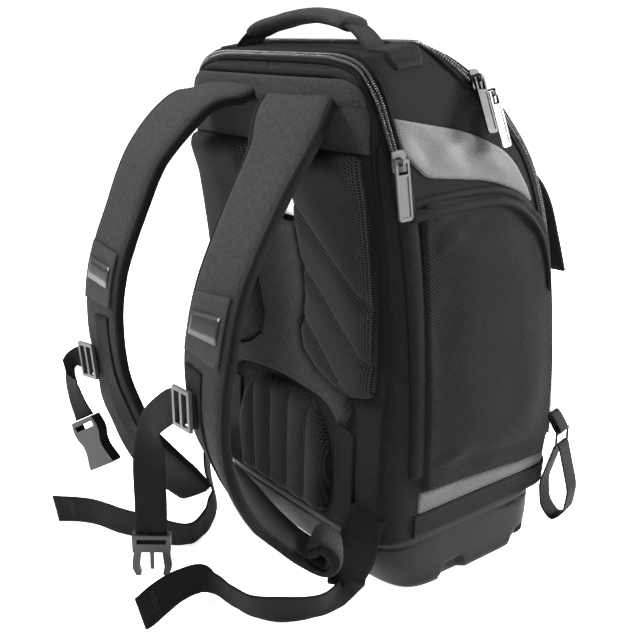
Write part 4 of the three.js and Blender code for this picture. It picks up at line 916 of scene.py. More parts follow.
pocket_edge = outline([
    (DIVIDER_FOOT + chain_clear + 1, POCKET_FOOT, 4), (FRONT_REACH * 0.8, POCKET_FOOT - 10, 22),
    (FRONT_REACH * 0.79, POCKET_TOP * 0.62, 60), (FRONT_REACH * 0.65, POCKET_TOP - 26, 34),
    (FRONT_REACH * 0.16, POCKET_TOP - 2, 50), (divider_at(POCKET_TOP) + chain_clear + 8, POCKET_TOP, 14),
    (divider_at(240) + chain_clear + 1, 240, 30),
])
# Columns: y, z, reach across, reach up, slant, depth: creases of the pocket's cloth
POCKET_CREASES = [
    (-58, 342, 24, 5, 0.35, 2.6), (-48, 330, 26, 4, 0.5, -1.8), (-66, 322, 14, 7, -0.2, 2.0),
    (-20, 338, 34, 6, 0.12, 1.6), (26, 338, 30, 5, -0.15, 1.2), (-55, 250, 18, 40, 0.3, 1.4),
    (-30, 200, 30, 60, 0.1, 1.2), (40, 300, 40, 30, -0.2, 0.8), (70, 250, 16, 50, 0.0, -0.8),
    (0, 128, 60, 7, 0.0, 1.6), (-40, 138, 30, 6, 0.25, -1.4), (50, 124, 36, 5, -0.1, 1.2),
]


def pocket_height(p, d):
    rise = 5.6 * rounded(d, 3.2) + 5.6 * smooth(0, 52, d)
    rise *= 1 + 0.25 * bump((p[:, 1] - POCKET_FOOT - 60) / 70)
    crease = 0
    for y, z, wide, tall, slant, depth in POCKET_CREASES:
        along, over = p[:, 0] - y, p[:, 1] - z
        crease = crease + depth * bump(along / wide) * bump((over - along * slant) / tall)
    uneven = np.array([noise.noise(Vector((a * 0.022, b * 0.016, 3.1))) for a, b in p]) * 1.6
    return rise + (uneven - crease) * smooth(1.5, 14, d) + GAP


pocket = Relief("side", pocket_edge, pocket_height, spacing=3.2)
pocket.build_pair("side_pocket_cloth", [pocket_cloth], "side_pocket", slot="dobby")
stitch_relief(pocket, 4.4, both=True)

# Zip along the pocket's top: a hood of cloth over a narrow tape
POCKET_ARCH = [
    (-84, 361), (-60, 364), (-30, 365), (0, 365), (22, 363), (44, 355), (62, 342), (76, 324),
    (85, 300), (91, 270),
]
arch_count = 120
arch = np.array([route([(*p, 0) for p in POCKET_ARCH], k / arch_count)[:2] for k in range(arch_count + 1)])
found = [cast("side", *p) for p in even(arch, 2.5)]
arch_points, arch_normals = np.array([f[0] for f in found]), np.array([f[1] for f in found])


def strip_on(points, normals, rows, name, looks, **options):
    """A band along a run of surface points: rows of (across, out), open below."""
    way = unit(np.gradient(points, axis=0))
    side = unit(np.cross(normals, way))
    grid = np.array([points + side * a + normals * o for a, o in rows])
    run = np.concatenate([[0], np.cumsum(np.linalg.norm(np.diff(points, axis=0), axis=1))])
    width = np.concatenate([[0], np.cumsum(np.linalg.norm(np.diff(np.array(rows), axis=0), axis=1))])
    uv = [(w, s) for w in width for s in run]
    faces = [tuple(reversed(f)) for f in grid_faces(len(rows), len(points), wrap=False)]
    return make(name, grid.reshape(-1, 3), faces, looks, uv, **options)


def mirrored_run(points):
    return points[::-1] * (-1, 1, 1)


# Columns: across the zip from above it, out from the body
HOOD_ROWS = [
    (6.0, -0.5), (5.6, 1.6), (4.2, 2.8), (2.0, 3.4), (0.2, 3.3), (-0.7, 2.6), (-1.4, 2.2), (-2.2, 3.6),
    (-3.0, 6.0),
    (-4.4, 8.2), (-6.4, 9.6), (-8.4, 9.8), (-10.0, 8.0),
]
for hand, points, normals in (
    ("right", arch_points, arch_normals), ("left", mirrored_run(arch_points), mirrored_run(arch_normals)),
):
    strip_on(points, normals, HOOD_ROWS[::-1], f"pocket_zip_{hand}", [binding], slot="dobby")

# ------------------------------------------------------------------ zips
def tooth(points, faces, centre, way, side, normal, size):
    """One bead of a zip's coil, longer across the zip."""
    base = len(points)
    a, b, c = way * size[0], side * size[1], normal * size[2]
    points += [
        centre - a * 0.6 - b, centre + a * 0.6 - b, centre + a * 0.6 + b, centre - a * 0.6 + b,
        centre - a + c * 0.2 - b * 0.8, centre + a + c * 0.2 - b * 0.8, centre + a + c * 0.2 + b * 0.8,
        centre - a + c * 0.2 + b * 0.8,
        centre - a * 0.5 + c - b * 0.6, centre + a * 0.5 + c - b * 0.6, centre + a * 0.5 + c + b * 0.6,
        centre - a * 0.5 + c + b * 0.6,
    ]
    for k in (0, 4):
        for i in range(4):
            j = (i + 1) % 4
            faces.append((base + k + i, base + k + j, base + k + 4 + j, base + k + 4 + i))
    faces.append(tuple(base + 8 + i for i in range(4)))


def zip_chain(name, path, normals, replaces, pitch=1.9, tape_half=CHAIN_WIDTH / 2 + 2.6, foot=0):
    path, normals = np.asarray(path), np.asarray(normals)
    rows = [
        (-tape_half, -0.4), (-tape_half + 0.3, 0.6), (-tape_half + 1.6, 1.1), (-tape_half + 3.0, 1.0),
        (-tape_half + 3.3, 0.6),
        (-1.5, 0.7), (0, 0.5), (1.5, 0.7), (tape_half - 3.3, 0.6), (tape_half - 3.0, 1.0),
        (tape_half - 1.6, 1.1),
        (tape_half - 0.3, 0.6), (tape_half, -0.4),
    ]
    strip_on(path, normals, rows, f"{name}_tape", [tape], slot="hard_plastic", replaces=replaces)
    run = np.concatenate([[0], np.cumsum(np.linalg.norm(np.diff(path, axis=0), axis=1))])
    points, faces = [], []
    for k in range(int(run[-1] / pitch)):
        for hand in (-1, 1):
            s = (k + (0.5 if hand > 0 else 0)) * pitch
            if s > run[-1]:
                continue
            at = np.array([np.interp(s, run, path[:, i]) for i in range(3)])
            if at[2] < foot:
                continue
            after = np.array([np.interp(min(s + 1, run[-1]), run, path[:, i]) for i in range(3)])
            normal = unit(np.array([np.interp(s, run, normals[:, i]) for i in range(3)]))
            way = unit(after - at) if np.linalg.norm(after - at) > 1e-6 else unit(path[-1] - path[-2])
            side = unit(np.cross(normal, way))
            tooth(
                points, faces, at + side * hand * 1.75 + normal * 0.7, way, side, normal,
                (0.62, 1.5, 1.9),
            )
    make(f"{name}_teeth", points, faces, [coil], slot="hard_plastic")


def over_crown(y_of_z, foot, step=2.0):
    """The line on the body where a sheet meets it, from one side over the crown to the other."""
    side = []
    for z in np.arange(foot, 482, step):
        point, _, face, _ = tree.ray_cast(Vector((260, float(y_of_z(z)), float(z))), Vector((-1, 0, 0)))
        if point is None:
            break
        at, normal = surface(point, face)
        if normal[0] < 0.55:
            break
        side.append(at)
    top = []
    x = side[-1][0] - 1.5
    while x > 0:
        y = side[-1][1]
        for _ in range(6):
            at, normal = cast("top", x, y)
            y = 0.5 * (y + float(y_of_z(at[2])))
        top.append(at)
        x -= step
    half = even(np.array(side + top), step)
    half = half[:-1] if half[-1][0] < 0.6 else half
    line = np.concatenate([half, half[::-1] * (-1, 1, 1)])
    for _ in range(6):
        line[1:-1] = (line[:-2] + 2 * line[1:-1] + line[2:]) / 4
    found = [nearest(p) for p in even(line, step)]
    normals = np.array([f[1] for f in found])
    for _ in range(4):
        normals[1:-1] = normals[:-2] + 2 * normals[1:-1] + normals[2:]
        normals = unit(normals)
    return np.array([f[0] for f in found]), normals


strip_top = BAND_TOP + GAP + STRIP_HEIGHT
laptop_path, laptop_normals = over_crown(divider_at, strip_top + 18)
zip_chain("laptop_zip", laptop_path, laptop_normals, "laptop_zip_chain", foot=SLIDER_HEIGHT)
FLAP_ROWS = [
    (-9.5, -0.5), (-9.2, 1.4), (-7.5, 3.3), (-4.5, 4.4), (-1.0, 4.8), (2.4, 4.5), (5.0, 3.6),
    (6.6, 2.0), (7.0, -0.5),
]
# The flaps take the gusset cloth, whose darkness is partly the cloth's own tone and partly painted shade.
for hand in (1, -1):
    low = [
        i for i, at in enumerate(laptop_path) if at[0] * hand > 0 and at[2] < SLIDER_HEIGHT - 9
    ]
    rows = FLAP_ROWS if hand > 0 else [(-a, o) for a, o in FLAP_ROWS][::-1]
    name = "right" if hand > 0 else "left"
    strip_on(laptop_path[low], laptop_normals[low], rows, f"zip_flap_{name}", [gusset_dark_and_shaded], slot="heather")

# The main zip keeps a distance behind the front of each section
main_side = []
for place in np.linspace(1, len(SECTIONS) - 1, 190):
    row = table_at(SECTIONS, place)
    line_y = (row[3] - row[6]) * FRONT_REACH - ZIP_SHIFT * smooth(1, 3, place) * smooth(11, 9.5, place)
    ring = body_ring(place)
    right_half = ring[(ring[:, 0] > 20)]
    right_half = right_half[np.argsort(right_half[:, 1])]
    right_half = right_half[: np.argmax(right_half[:, 0] * 0.25 + right_half[:, 1]) + 1]
    at = np.array([np.interp(line_y, right_half[:, 1], right_half[:, i]) for i in range(3)])
    if at[2] > ZIP_FOOT:
        main_side.append(at)
main_half = np.array(main_side)
ends = main_half[-1]
over = [np.array((x, ends[1], ends[2] + 2)) for x in np.arange(ends[0] - 2, 0, -2.0)]
main_half = even(np.array([*main_half, *over]), 2.0)
main_line = np.concatenate([main_half, main_half[::-1] * (-1, 1, 1)])
for _ in range(8):
    main_line[1:-1] = (main_line[:-2] + 2 * main_line[1:-1] + main_line[2:]) / 4
found = [nearest(p) for p in even(main_line, 2.0)]
main_path, main_normals = np.array([f[0] for f in found]), np.array([f[1] for f in found])
for _ in range(6):
    main_normals[1:-1] = main_normals[:-2] + 2 * main_normals[1:-1] + main_normals[2:]
    main_normals = unit(main_normals)
zip_chain("main_zip", main_path, main_normals, "main_zip_chain", pitch=2.3)

# ------------------------------------------------------------------ back panel


def back_outline(grow):
    return outline([
        (-BACK_HALF - grow, BASE_HEIGHT + 2 - grow), (BACK_HALF + grow, BASE_HEIGHT + 2 - grow),
        (BACK_HALF + grow + 3, 230), (BACK_HALF + grow - 3, BACK_TOP + grow, BACK_ROUND),
        (-BACK_HALF - grow + 3, BACK_TOP + grow, BACK_ROUND), (-BACK_HALF - grow - 3, 230),
    ])


piping_run = [p for p in back_outline(GAP + PIPING_WIDTH / 2)]
start = min(
    range(len(piping_run)), key=lambda i: abs(piping_run[i][0] - BACK_HALF) + abs(piping_run[i][1] - 62),
)
piping_run = np.array([p for p in piping_run[start:] + piping_run[:start] if p[1] > BASE_HEIGHT + 3])
found = [cast("back", *p) for p in even(piping_run, 2.5)]
pipe_points, pipe_normals = np.array([f[0] for f in found]), np.array([f[1] for f in found])
for _ in range(2):
    pipe_points[1:-1] = (pipe_points[:-2] + 2 * pipe_points[1:-1] + pipe_points[2:]) / 4
pipe_rows = [(-3.2, -0.4), (-2.6, 0.6), *[
    (-2.1 * math.cos(a), 1.0 + 2.2 * math.sin(a)) for a in np.linspace(0, math.pi, 9)
], (2.6, 0.6), (3.2, -0.4)]
strip_on(
    pipe_points, pipe_normals, pipe_rows, "back_piping_cord", [binding], slot="webbing",
    replaces="back_piping",
)

half = BACK_HALF - 3
yoke_edge = outline([
    (-half - 2, YOKE_FOOT), (half + 2, YOKE_FOOT), (half, BACK_TOP, BACK_ROUND),
    (-half, BACK_TOP, BACK_ROUND),
])
yoke_line = [np.array((-half - 8, YOKE_SEAM)), np.array((half + 8, YOKE_SEAM))]


def yoke_height(p, d):
    seam = distance(p, yoke_line, closed=False)
    above = smooth(YOKE_SEAM - 1, YOKE_SEAM + 1, p[:, 1])
    uneven = np.array([noise.noise(Vector((a * 0.02, b * 0.03, 7.7))) for a, b in p]) * 1.0
    return GAP + (2.4 + 1.6 * above + uneven * 0.6) * rounded(d, 2.5) - 1.5 * bump(seam / 1.6)


yoke = Relief("back", yoke_edge, yoke_height, spacing=4, lines=[(yoke_line, 6)])
yoke.build("back_yoke_cloth", [heather], slot="heather", replaces="back_yoke")
run = even([np.array((side * half, YOKE_SEAM + 2.6)) for side in (-1, 1)], 3)
run = run[inside(run, yoke.edge)]
stitches(*yoke.on_top(run))

sleeve_side = [(30, SLEEVE_TOP), (36, 275), (SLEEVE_WAIST, 240), (33, 220), (54, 204), (94, 190)]
seam_gap = 0.6
edge_row = [(x + seam_gap * 2, z + (seam_gap * 2 if z < 210 else 0)) for x, z in sleeve_side]
pad_top = YOKE_FOOT - seam_gap
pad_edge = outline([
    (BACK_HALF - 7, pad_top, 3), (SLEEVE_WAIST, pad_top, 3), (SLEEVE_WAIST + 2, 350, 12), *edge_row,
    (BACK_HALF - 6, 198, 8),
])
channels = []
for i in range(PAD_CHANNELS):
    top = pad_top - 31 - i * CHANNEL_STEP - 2.5
    a, b = SLEEVE_WAIST - 6, BACK_HALF + 4
    channels.append([np.array((a, top)), np.array((b, top - (b - a) * CHANNEL_SLOPE))])


def padded_height(rise, grooves, edge_radius, groove_half, floor_share):
    def height(p, d):
        share = rounded(d, edge_radius)
        dip = np.full(len(p), 1e9)
        for line in grooves:
            dip = np.minimum(dip, distance(p, line, closed=False))
        groove = rounded(np.maximum(dip - 0.6, 0), groove_half)
        return GAP + rise * share * (floor_share + (1 - floor_share) * groove)
    return height


pad = Relief(
    "back", pad_edge, padded_height(PAD_RISE, channels, 12, 11, 0.55), spacing=4,
    edge_steps=(0.2, 0.8, 2.0, 4.0, 7.0, 10.5), lines=[(line, 9) for line in channels],
)
for piece in pad.build_pair("mesh_pad_cloth", [mesh_cloth], "mesh_pad", slot="mesh"):
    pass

lumbar_edge = outline([
    (-64, BASE_HEIGHT + 6, 8), (64, BASE_HEIGHT + 6, 8), (70, 130, 20), (52, 172, 26), (0, LUMBAR_TOP, 60),
    (-52, 172, 26), (-70, 130, 20),
])
ribs = []
for i in range(1, LUMBAR_RIBS):
    foot = -66 + 132 * i / LUMBAR_RIBS
    ribs.append([np.array((foot, BASE_HEIGHT)), np.array((foot * 1.12, LUMBAR_TOP + 6))])
lumbar = Relief(
    "back", lumbar_edge, padded_height(PAD_RISE, ribs, 12, 13, 0.5), spacing=4,
    edge_steps=(0.2, 0.8, 2.0, 4.0, 7.0, 10.5), lines=[(line, 9) for line in ribs],
)
lumbar.build("lumbar_pad_cloth", [mesh_cloth], slot="mesh", replaces="lumbar_pad")

# Trolley sleeve: a stretched sheet over the spine, open above
leg = [(96, 178, 2), (88, 166, 2), (74, 178, 6), (56, LUMBAR_TOP + 3, 16), (0, LUMBAR_TOP + 8, 50)]
sleeve_corners = [*sleeve_side, *leg, *[(-c[0], *c[1:]) for c in [*sleeve_side, *leg[:-1]]][::-1]]
sleeve_edge = outline(sleeve_corners)


def sleeve_height(p, d):
    hem = smooth(SLEEVE_TOP - 3.5, SLEEVE_TOP - 1, p[:, 1]) * smooth(30, 24, np.abs(p[:, 0]))
    free = np.maximum(rounded(d, 2.4), hem)
    slack = np.array([noise.noise(Vector((a * 0.03, b * 0.012, 1.9))) for a, b in p]) * 0.9
    return GAP + (SLEEVE_RISE - 0.6 + slack - 1.6 * bump(p[:, 0] / 22) * smooth(200, 300, p[:, 1])) * free


sleeve = Relief(
    "back", sleeve_edge, sleeve_height, spacing=4,
    lines=[([np.array((-24, SLEEVE_TOP - 9)), np.array((24, SLEEVE_TOP - 9))], 3)],
)
rim = distance(sleeve.flat, sleeve.edge) < 0.02
top_rim = rim & (sleeve.flat[:, 1] > SLEEVE_TOP - 1) & (np.abs(sleeve.flat[:, 0]) < 27)
for i in np.where(top_rim)[0]:
    sleeve.points[i] = sleeve.lift(sleeve.flat[i], SLEEVE_RISE - 1.2)[0]
sleeve_piece = sleeve.build("trolley_sleeve_cloth", [heather], slot="heather", replaces="trolley_sleeve")
thick = sleeve_piece.modifiers.new("ply", "SOLIDIFY")
thick.thickness = 1.6 * MM
thick.offset = -1
stitch_relief(sleeve, 5.0, keep=lambda p: p[:, 1] < SLEEVE_TOP - 6)
for z in (SLEEVE_TOP - 5, SLEEVE_TOP - 8.5):
    stitches(*sleeve.on_top(even([np.array((-29, z)), np.array((29, z))], 3)), pale=True)

label_edge = outline([
    (-24, SLEEVE_TOP + 2), (24, SLEEVE_TOP + 2), (22, SLEEVE_TOP + 55, 5), (-22, SLEEVE_TOP + 55, 5),
], 2.5)
label_relief = Relief("back", label_edge, lambda p, d: GAP + 0.8 * rounded(d, 0.8), spacing=4)
label_relief.build("back_label_cloth", [label], slot="label", replaces="back_label")
stitch_relief(label_relief, 2.0)

lumbar_strip = Relief("back", outline([
    (76, BASE_HEIGHT + 6), (101, BASE_HEIGHT + 6), (101, 158), (92, 161), (76, 161),
]), lambda p, d: GAP + 2.4 * rounded(d, 1.2), spacing=4)
lumbar_strip.build_pair("lumbar_strip_cloth", [webbing], "lumbar_strip", slot="webbing")
stitch_relief(lumbar_strip, 2.4, both=True)

# ------------------------------------------------------------------ shoulder straps
STRAPS = {
    "right": [
        (44, -104, 450, 46, 0), (54, -126, 437, 44, 0), (71, -150, 413, 40, 0), (78, -178, 378, 36, 0),
        (84, -203, 343, 34, 0),
        (88, -223, 308, 33, 0), (91, -235, 272, 33, 0), (88, -239, 231, 33, -4), (85, -234, 187, 33, -12),
        (88, -219, 147, 33, -25), (87, -192, 108, 28, -38), (94, -176, 87, 25, -38),
        (104, -163, 72, 23, -38),
        (116, -153, 65, 21, -38), (127, -147, 67, 20, -38), (130, -146, 77, 20, -38),
        (123, -151, 84, 20, -38),
        (115, -157, 81, 20, -38),
    ],
    "left": [
        (-46, -104, 456, 46, 0), (-54, -126, 443, 44, 0), (-64, -155, 432, 40, 0), (-86, -186, 393, 36, 0),
        (-93, -210, 340, 34, 0), (-99, -228, 287, 33, 0), (-100, -234, 240, 32, 0),
        (-87, -236, 204, 30, -2),
        (-85, -230, 164, 28, 11), (-86, -218, 132, 26, 9, 20), (-93, -190, 86, 25, 26, 28),
        (-98, -166, 57, 22, 30, 36),
        (-100, -148, 36, 19, 26, 40),
    ],
}
# Columns of the strap's section, edge to edge: share of the half width, share of the face's height
STRAP_TOP = [
    (-1.0, 0.0), (-1.0, 0.3), (-0.985, 0.5), (-0.95, 0.62), (-0.89, 0.66), (-0.865, 0.55),
    (-0.84, 0.72), (-0.78, 0.88),
    (-0.66, 0.97), (-0.45, 1.0), (-0.2, 1.02), (0.0, 1.02), (0.2, 1.02), (0.45, 1.0), (0.66, 0.97),
    (0.78, 0.88),
    (0.84, 0.72), (0.865, 0.55), (0.89, 0.66), (0.95, 0.62), (0.985, 0.5), (1.0, 0.3),
]
strap_bottom = [(-a, -h) for a, h in STRAP_TOP]
strap_loop = STRAP_TOP + strap_bottom
binding_columns = {0, 1, 2, 3, 4, 17, 18, 19, 20, 21}


def strap_section(frame_item):
    wrinkle = 0.5 * noise.noise(Vector(frame_item["point"]) * 0.05)
    return [(a * frame_item["half"], h * (STRAP_FACE + wrinkle)) for a, h in strap_loop]


straps = {}
for hand, rows in STRAPS.items():
    frames = band_frames(rows)
    straps[hand] = frames
    points, faces, uv = sweep(frames, strap_section)
    count, top = len(strap_loop), len(STRAP_TOP)
    slots = []
    for index in range(len(faces)):
        column = index % count if index < (len(frames) - 1) * count else 0
        edge = (column % top) in binding_columns
        slots.append(2 if edge else 0 if column < top else 1)
    piece = make(
        f"shoulder_strap_cloth_{hand}", points, faces, [heather, mesh_cloth, binding], uv, slots,
        slot="heather", replaces=f"shoulder_strap_{hand}",
    )
    for edge in (-0.91, 0.91):
        run = [f for f in frames if f["point"][1] < -128]
        rise = STRAP_FACE * 0.66 + 0.1
        line = np.array([f["point"] + f["across"] * f["half"] * edge + f["out"] * rise for f in run])
        stitches(line, [f["out"] for f in run])


def frame_near(frames, z):
    return min(range(len(frames)), key=lambda i: abs(frames[i]["point"][2] - z))


def between(frames, high, low):
    return frames[frame_near(frames, high): frame_near(frames, low) + 1]


strip_lift = STRAP_FACE + GAP


def on_strap(name, span, width, ply, shift, lift, look, steps=10, **options):
    """A flat band that follows a strap's face."""
    points, faces, uv = sweep(span, lambda f: ribbon_section(width, ply, shift, lift, steps))
    make(name, points, faces, [look], uv, slot="webbing", **options)


for hand, shift in (("right", -9), ("left", 8)):
    frames = straps[hand]
    span = between(frames, 246, 110)
    on_strap(
        f"strap_strip_cloth_{hand}", span, STRIP_WIDTH, 1.6, shift, strip_lift - 0.1, webbing,
        replaces=f"strap_strip_{hand}",
    )
    outs = [f["out"] for f in span]
    for side in (-1, 1):
        stitches(ride_on(span, shift + side * (STRIP_WIDTH / 2 - 2.2), strip_lift + 1.6), outs)
    for z in (186, 183):
        f = frames[frame_near(frames, z)]
        rise = f["out"] * (strip_lift + 1.7)
        bar = np.array([f["point"] + f["across"] * (shift + a) + rise for a in (-11, 11)])
        stitches(bar, [f["out"]] * 2, length=1.6, space=0.7, pale=True)
    on_strap(
        f"strap_patch_cloth_{hand}", between(frames, 305, 258), PATCH_WIDTH, 1.8, 0, strip_lift, coarse, 16,
        replaces=f"strap_patch_{hand}",
    )
    on_strap(
        f"strap_plate_{hand}", between(frames, 292, 274), PLATE_WIDTH, 1.1, 0, strip_lift + 1.7, black_plastic, 12,
    )

# ------------------------------------------------------------------ sternum webbing, tails, handle


def ribbon_piece(name, frames, width, ply, node, look=None, end_fold=0.0):
    section = lambda f: ribbon_section(width, ply)
    points, faces, uv = sweep(frames, section)
    piece = make(name, points, faces, [look or webbing], uv, slot="webbing", replaces=node)
    length = frames[-1]["run"]
    if end_fold:
        span = [f for f in frames if f["run"] > length - end_fold]
        for run in (length - end_fold + 2, length - end_fold + 5):
            f = min(frames, key=lambda item: abs(item["run"] - run))
            for face in (1, -1):
                bar = np.array([
                    f["point"] + f["across"] * a + f["out"] * face * (ply / 2 + 0.2)
                    for a in (-width / 2 + 3, width / 2 - 3)
                ])
                stitches(bar, [f["out"] * face] * 2, length=1.8, space=0.8, pale=True)
    return piece


strap_frames = band_frames(STRAPS["right"], 24)
spot = strap_frames[frame_near(strap_frames, 213)]
start = spot["point"] - spot["across"] * 8 + spot["out"] * (
    STRAP_FACE + GAP + WEBBING_PLY + GAP * 5 + WEBBING_PLY / 2
)
STERNUM = {
    "right": [
        (start[0] + 8, start[1], 213, 0, 180, 88), (56, -249, 211, 0, 180, 70), (37, -252, 199, 0, 180, 36),
        (19, -254, 182, 0, 184, 4), (12, -253, 159, 0, 212, -12), (7, -252, 131, 0, 234, -16),
        (4, -251, 100, 0, 234, -14), (0, -250, 69, 0, 234, -10),
    ],
    "left": [
        (-103, -243.8, 201, 0, 0, 80), (-122, -246, 198, 0, 0, 72), (-141, -250, 186, 0, 0, 44),
        (-150, -251, 168, 0, 0, 6), (-144, -250, 150, 0, 10, -8), (-135, -247, 133, 0, 20, -10),
    ],
}
for hand, rows in STERNUM.items():
    frames = band_frames(rows)
    ribbon_piece(
        f"sternum_webbing_cloth_{hand}", frames, STERNUM_WIDTH, WEBBING_PLY, f"sternum_webbing_{hand}",
    )

TAILS = {
    "right": [
        ((134, -88, 92), (108, -110, 94)), ((137, -101, 78), (111, -125, 82)),
        ((137, -105, 56), (109, -128, 60)),
        ((124, -108, 24), (106, -128, 42)), ((112, -117, 1.2), (112, -124, 34)),
        ((110, -150, 1), (124, -156, 35)),
        ((97, -180, 1), (106, -187, 36)), ((75, -194, 1), (90, -203, 35)), ((51, -200, 2), (66, -208, 31)),
        ((30, -205, 4), (42, -211, 31)), ((23, -217, 6), (27, -218, 31)), ((22, -232, 5), (22, -239, 32)),
        ((26, -250, 3), (23, -262, 30)), ((31, -270, 1), (31, -290, 28)),
    ],
    "left": [
        ((-132, -90, 94), (-106, -112, 94)), ((-136, -103, 82), (-110, -126, 84)),
        ((-129, -112, 40), (-105, -132, 52)),
        ((-108, -118, 6), (-92, -132, 36)), ((-88, -136, 1), (-78, -146, 36)),
        ((-72, -156, 1), (-60, -162, 36)),
        ((-64, -178, 1), (-50, -184, 34)), ((-82, -200, 1), (-72, -203, 36)),
        ((-110, -214, 1), (-100, -217, 36)),
        ((-128, -224, 1), (-119, -226, 36)), ((-157, -235, 1), (-150, -239, 36)),
        ((-175, -248, 1), (-166, -251, 36)),
        ((-195, -268, 1), (-180, -262, 33)),
    ],
}
for hand, rows in TAILS.items():
    ribbon_piece(
        f"webbing_tail_cloth_{hand}", edge_frames(rows, TAIL_WIDTH), TAIL_WIDTH, TAIL_PLY,
        f"webbing_tail_{hand}",
        end_fold=22,
    )

HANDLE = [
    (-108, HANDLE_Y, 460, 15, 90), (-100, HANDLE_Y, 474, 15, 90), (-77, HANDLE_Y, 493, 12, 90),
    (-33, HANDLE_Y, 503, 12, 90),
    (10, HANDLE_Y, 507, 12, 90), (50, HANDLE_Y, 502, 12, 90), (71, HANDLE_Y, 494, 12, 90),
    (89, HANDLE_Y, 479, 12, 90),
    (112, HANDLE_Y, 452, 12, 90),
]
handle_frames = band_frames(HANDLE)
points, faces, uv = sweep(handle_frames, lambda f: ribbon_section(f["half"] * 2, HANDLE_PLY, steps=8))
make("handle_webbing_cloth", points, faces, [heather_dark], uv, slot="webbing", replaces="handle_webbing")
for side in (-1, 1):
    for face in (-1, 1):
        run = np.array([
            f["point"] + f["across"] * side * (f["half"] - 2.5) + f["out"] * face * (HANDLE_PLY / 2 + 0.2)
            for f in handle_frames
        ])
        stitches(run, [f["out"] * face for f in handle_frames])
grip_frames = handle_frames[16:45]


def grip_section(item):
    t = (item["t"] - grip_frames[0]["t"]) / (grip_frames[-1]["t"] - grip_frames[0]["t"])
    end = 1 - 0.12 * (1 - rounded(min(t, 1 - t), 0.06))
    ring = []
    for k in range(36):
        a = k / 36 * 2 * math.pi
        wrinkle = 1 + 0.05 * noise.noise(Vector((math.cos(a) * 2, math.sin(a) * 2, t * 14)))
        pinch = 1 - 0.1 * float(bump(math.sin(a / 2 + math.pi / 4) / 0.1))
        ring.append((
            math.cos(a) * GRIP_WIDTH / 2 * end * wrinkle * pinch,
            math.sin(a) * GRIP_THICK / 2 * end * wrinkle * pinch,
        ))
    return ring


points, faces, uv = sweep(grip_frames, grip_section)
make("handle_grip_cloth", points, faces, [heather], uv, slot="heather", replaces="handle_grip")
patch = Relief("top", outline([
    (92, HANDLE_Y - 16, 3), (126, HANDLE_Y - 16, 3), (126, HANDLE_Y + 16, 3), (92, HANDLE_Y + 16, 3),
]), lambda p, d: GAP + 1.6 * rounded(d, 1.2), spacing=4)
patch.build_pair("handle_patch_cloth", [webbing], "handle_patch", slot="webbing")
stitch_relief(patch, 2.4, both=True)

# ------------------------------------------------------------------ front


def panel_height(p, d):
    return GAP + 5.0 * rounded(d, 3.5) + 1.6 * smooth(0, 40, d) - 1.2 * bump((d - 9) / 1.6)


panel = Relief("front", outline([
    (-92, BAND_TOP + 8, 16), (92, BAND_TOP + 8, 16), (96, 240, 40), (84, 352, 30), (-84, 352, 30),
    (-96, 240, 40),
]), panel_height, spacing=5,
    edge_steps=(0.2, 0.8, 2.0, 3.6, 7.4, 8.2, 9.0, 9.8, 10.6))
panel.build("front_panel_cloth", [heather], slot="heather", replaces="front_panel")
stitch_relief(panel, 7.0)
TAB = [
    (102, 78, 380, 17, 0), (103, 104, 362, 17, 0), (104, 119, 340, 18, 0), (105, 131, 310, 18, 0),
    (106, 144, 272, 19, 0),
]
tab_frames = band_frames(TAB)
points, faces, uv = sweep(tab_frames, lambda f: ribbon_section(f["half"] * 2, 4, steps=8))
make("front_tab_cloth", points, faces, [dobby], uv, slot="dobby", replaces="front_tab")

# Ring, its keeper and its loop at the front corner
ring_way = unit(np.array((-0.24, 0.97, 0)))
ring_out = unit(np.array((0.97, 0.24, 0)))
ring_spot = np.array((154.0, 122.0, 113.0))


def loop_piece(name, width, reach, spread, middle_point, out, node):
    inner = RING_WIRE / 2 + GAP + 0.8
    hand = math.copysign(1, reach)
    rows = [
        (0, -hand * inner), (inner, -hand * inner * 0.5), (inner + 0.5, hand * inner),
        (spread / 2, reach * 0.55),
        (spread / 2 * 0.8, reach * 0.85), (0, reach),
    ]
    half_loop = [np.array(r, float) for r in rows]
    run = half_loop + [p * (-1, 1) for p in half_loop[-2:0:-1]]
    run = spaced(run, 3, closed=True)
    for _ in range(4):
        run = (np.roll(run, 1, axis=0) + 2 * run + np.roll(run, -1, axis=0)) / 4
    way = unit(np.roll(run, -1, axis=0) - np.roll(run, 1, axis=0))
    normal = np.stack([way[:, 1], -way[:, 0]], 1)
    section = ribbon_section(width, WEBBING_PLY)
    upward = unit(np.cross(out, ring_way))
    grid, uv, travelled = [], [], 0
    for i, (p, n) in enumerate(zip(run, normal)):
        for g, (a, o) in enumerate(section):
            spot_at = p + n * o
            grid.append(middle_point + ring_way * a + out * spot_at[0] + upward * spot_at[1])
            uv.append((a, travelled))
        travelled += np.linalg.norm(run[(i + 1) % len(run)] - p)
    count, rings = len(section), len(run)
    faces = []
    for r in range(rings):
        for i in range(count):
            j, s = (i + 1) % count, (r + 1) % rings
            faces.append((r * count + i, r * count + j, s * count + j, s * count + i))
    piece = make(name, grid, faces, [webbing], uv, slot="webbing", replaces=node)
    return piece, travelled


loop_top = ring_spot - (0, 0, RING_DROP / 2)
loop, loop_length = loop_piece(
    "corner_loop_cloth", LOOP_WIDTH, -LOOP_REACH, LOOP_SPREAD, loop_top, ring_out, "corner_loop",
)
turned = Matrix.Rotation(-math.radians(KEEPER_LEAN), 3, Vector(ring_way)) @ Vector(ring_out)
loop_piece(
    "ring_keeper_cloth", LOOP_WIDTH - 4, KEEPER_REACH - 4, RING_WIRE + 3, ring_spot + (0, 0, RING_DROP / 2),
    np.array(turned), "ring_keeper",
)

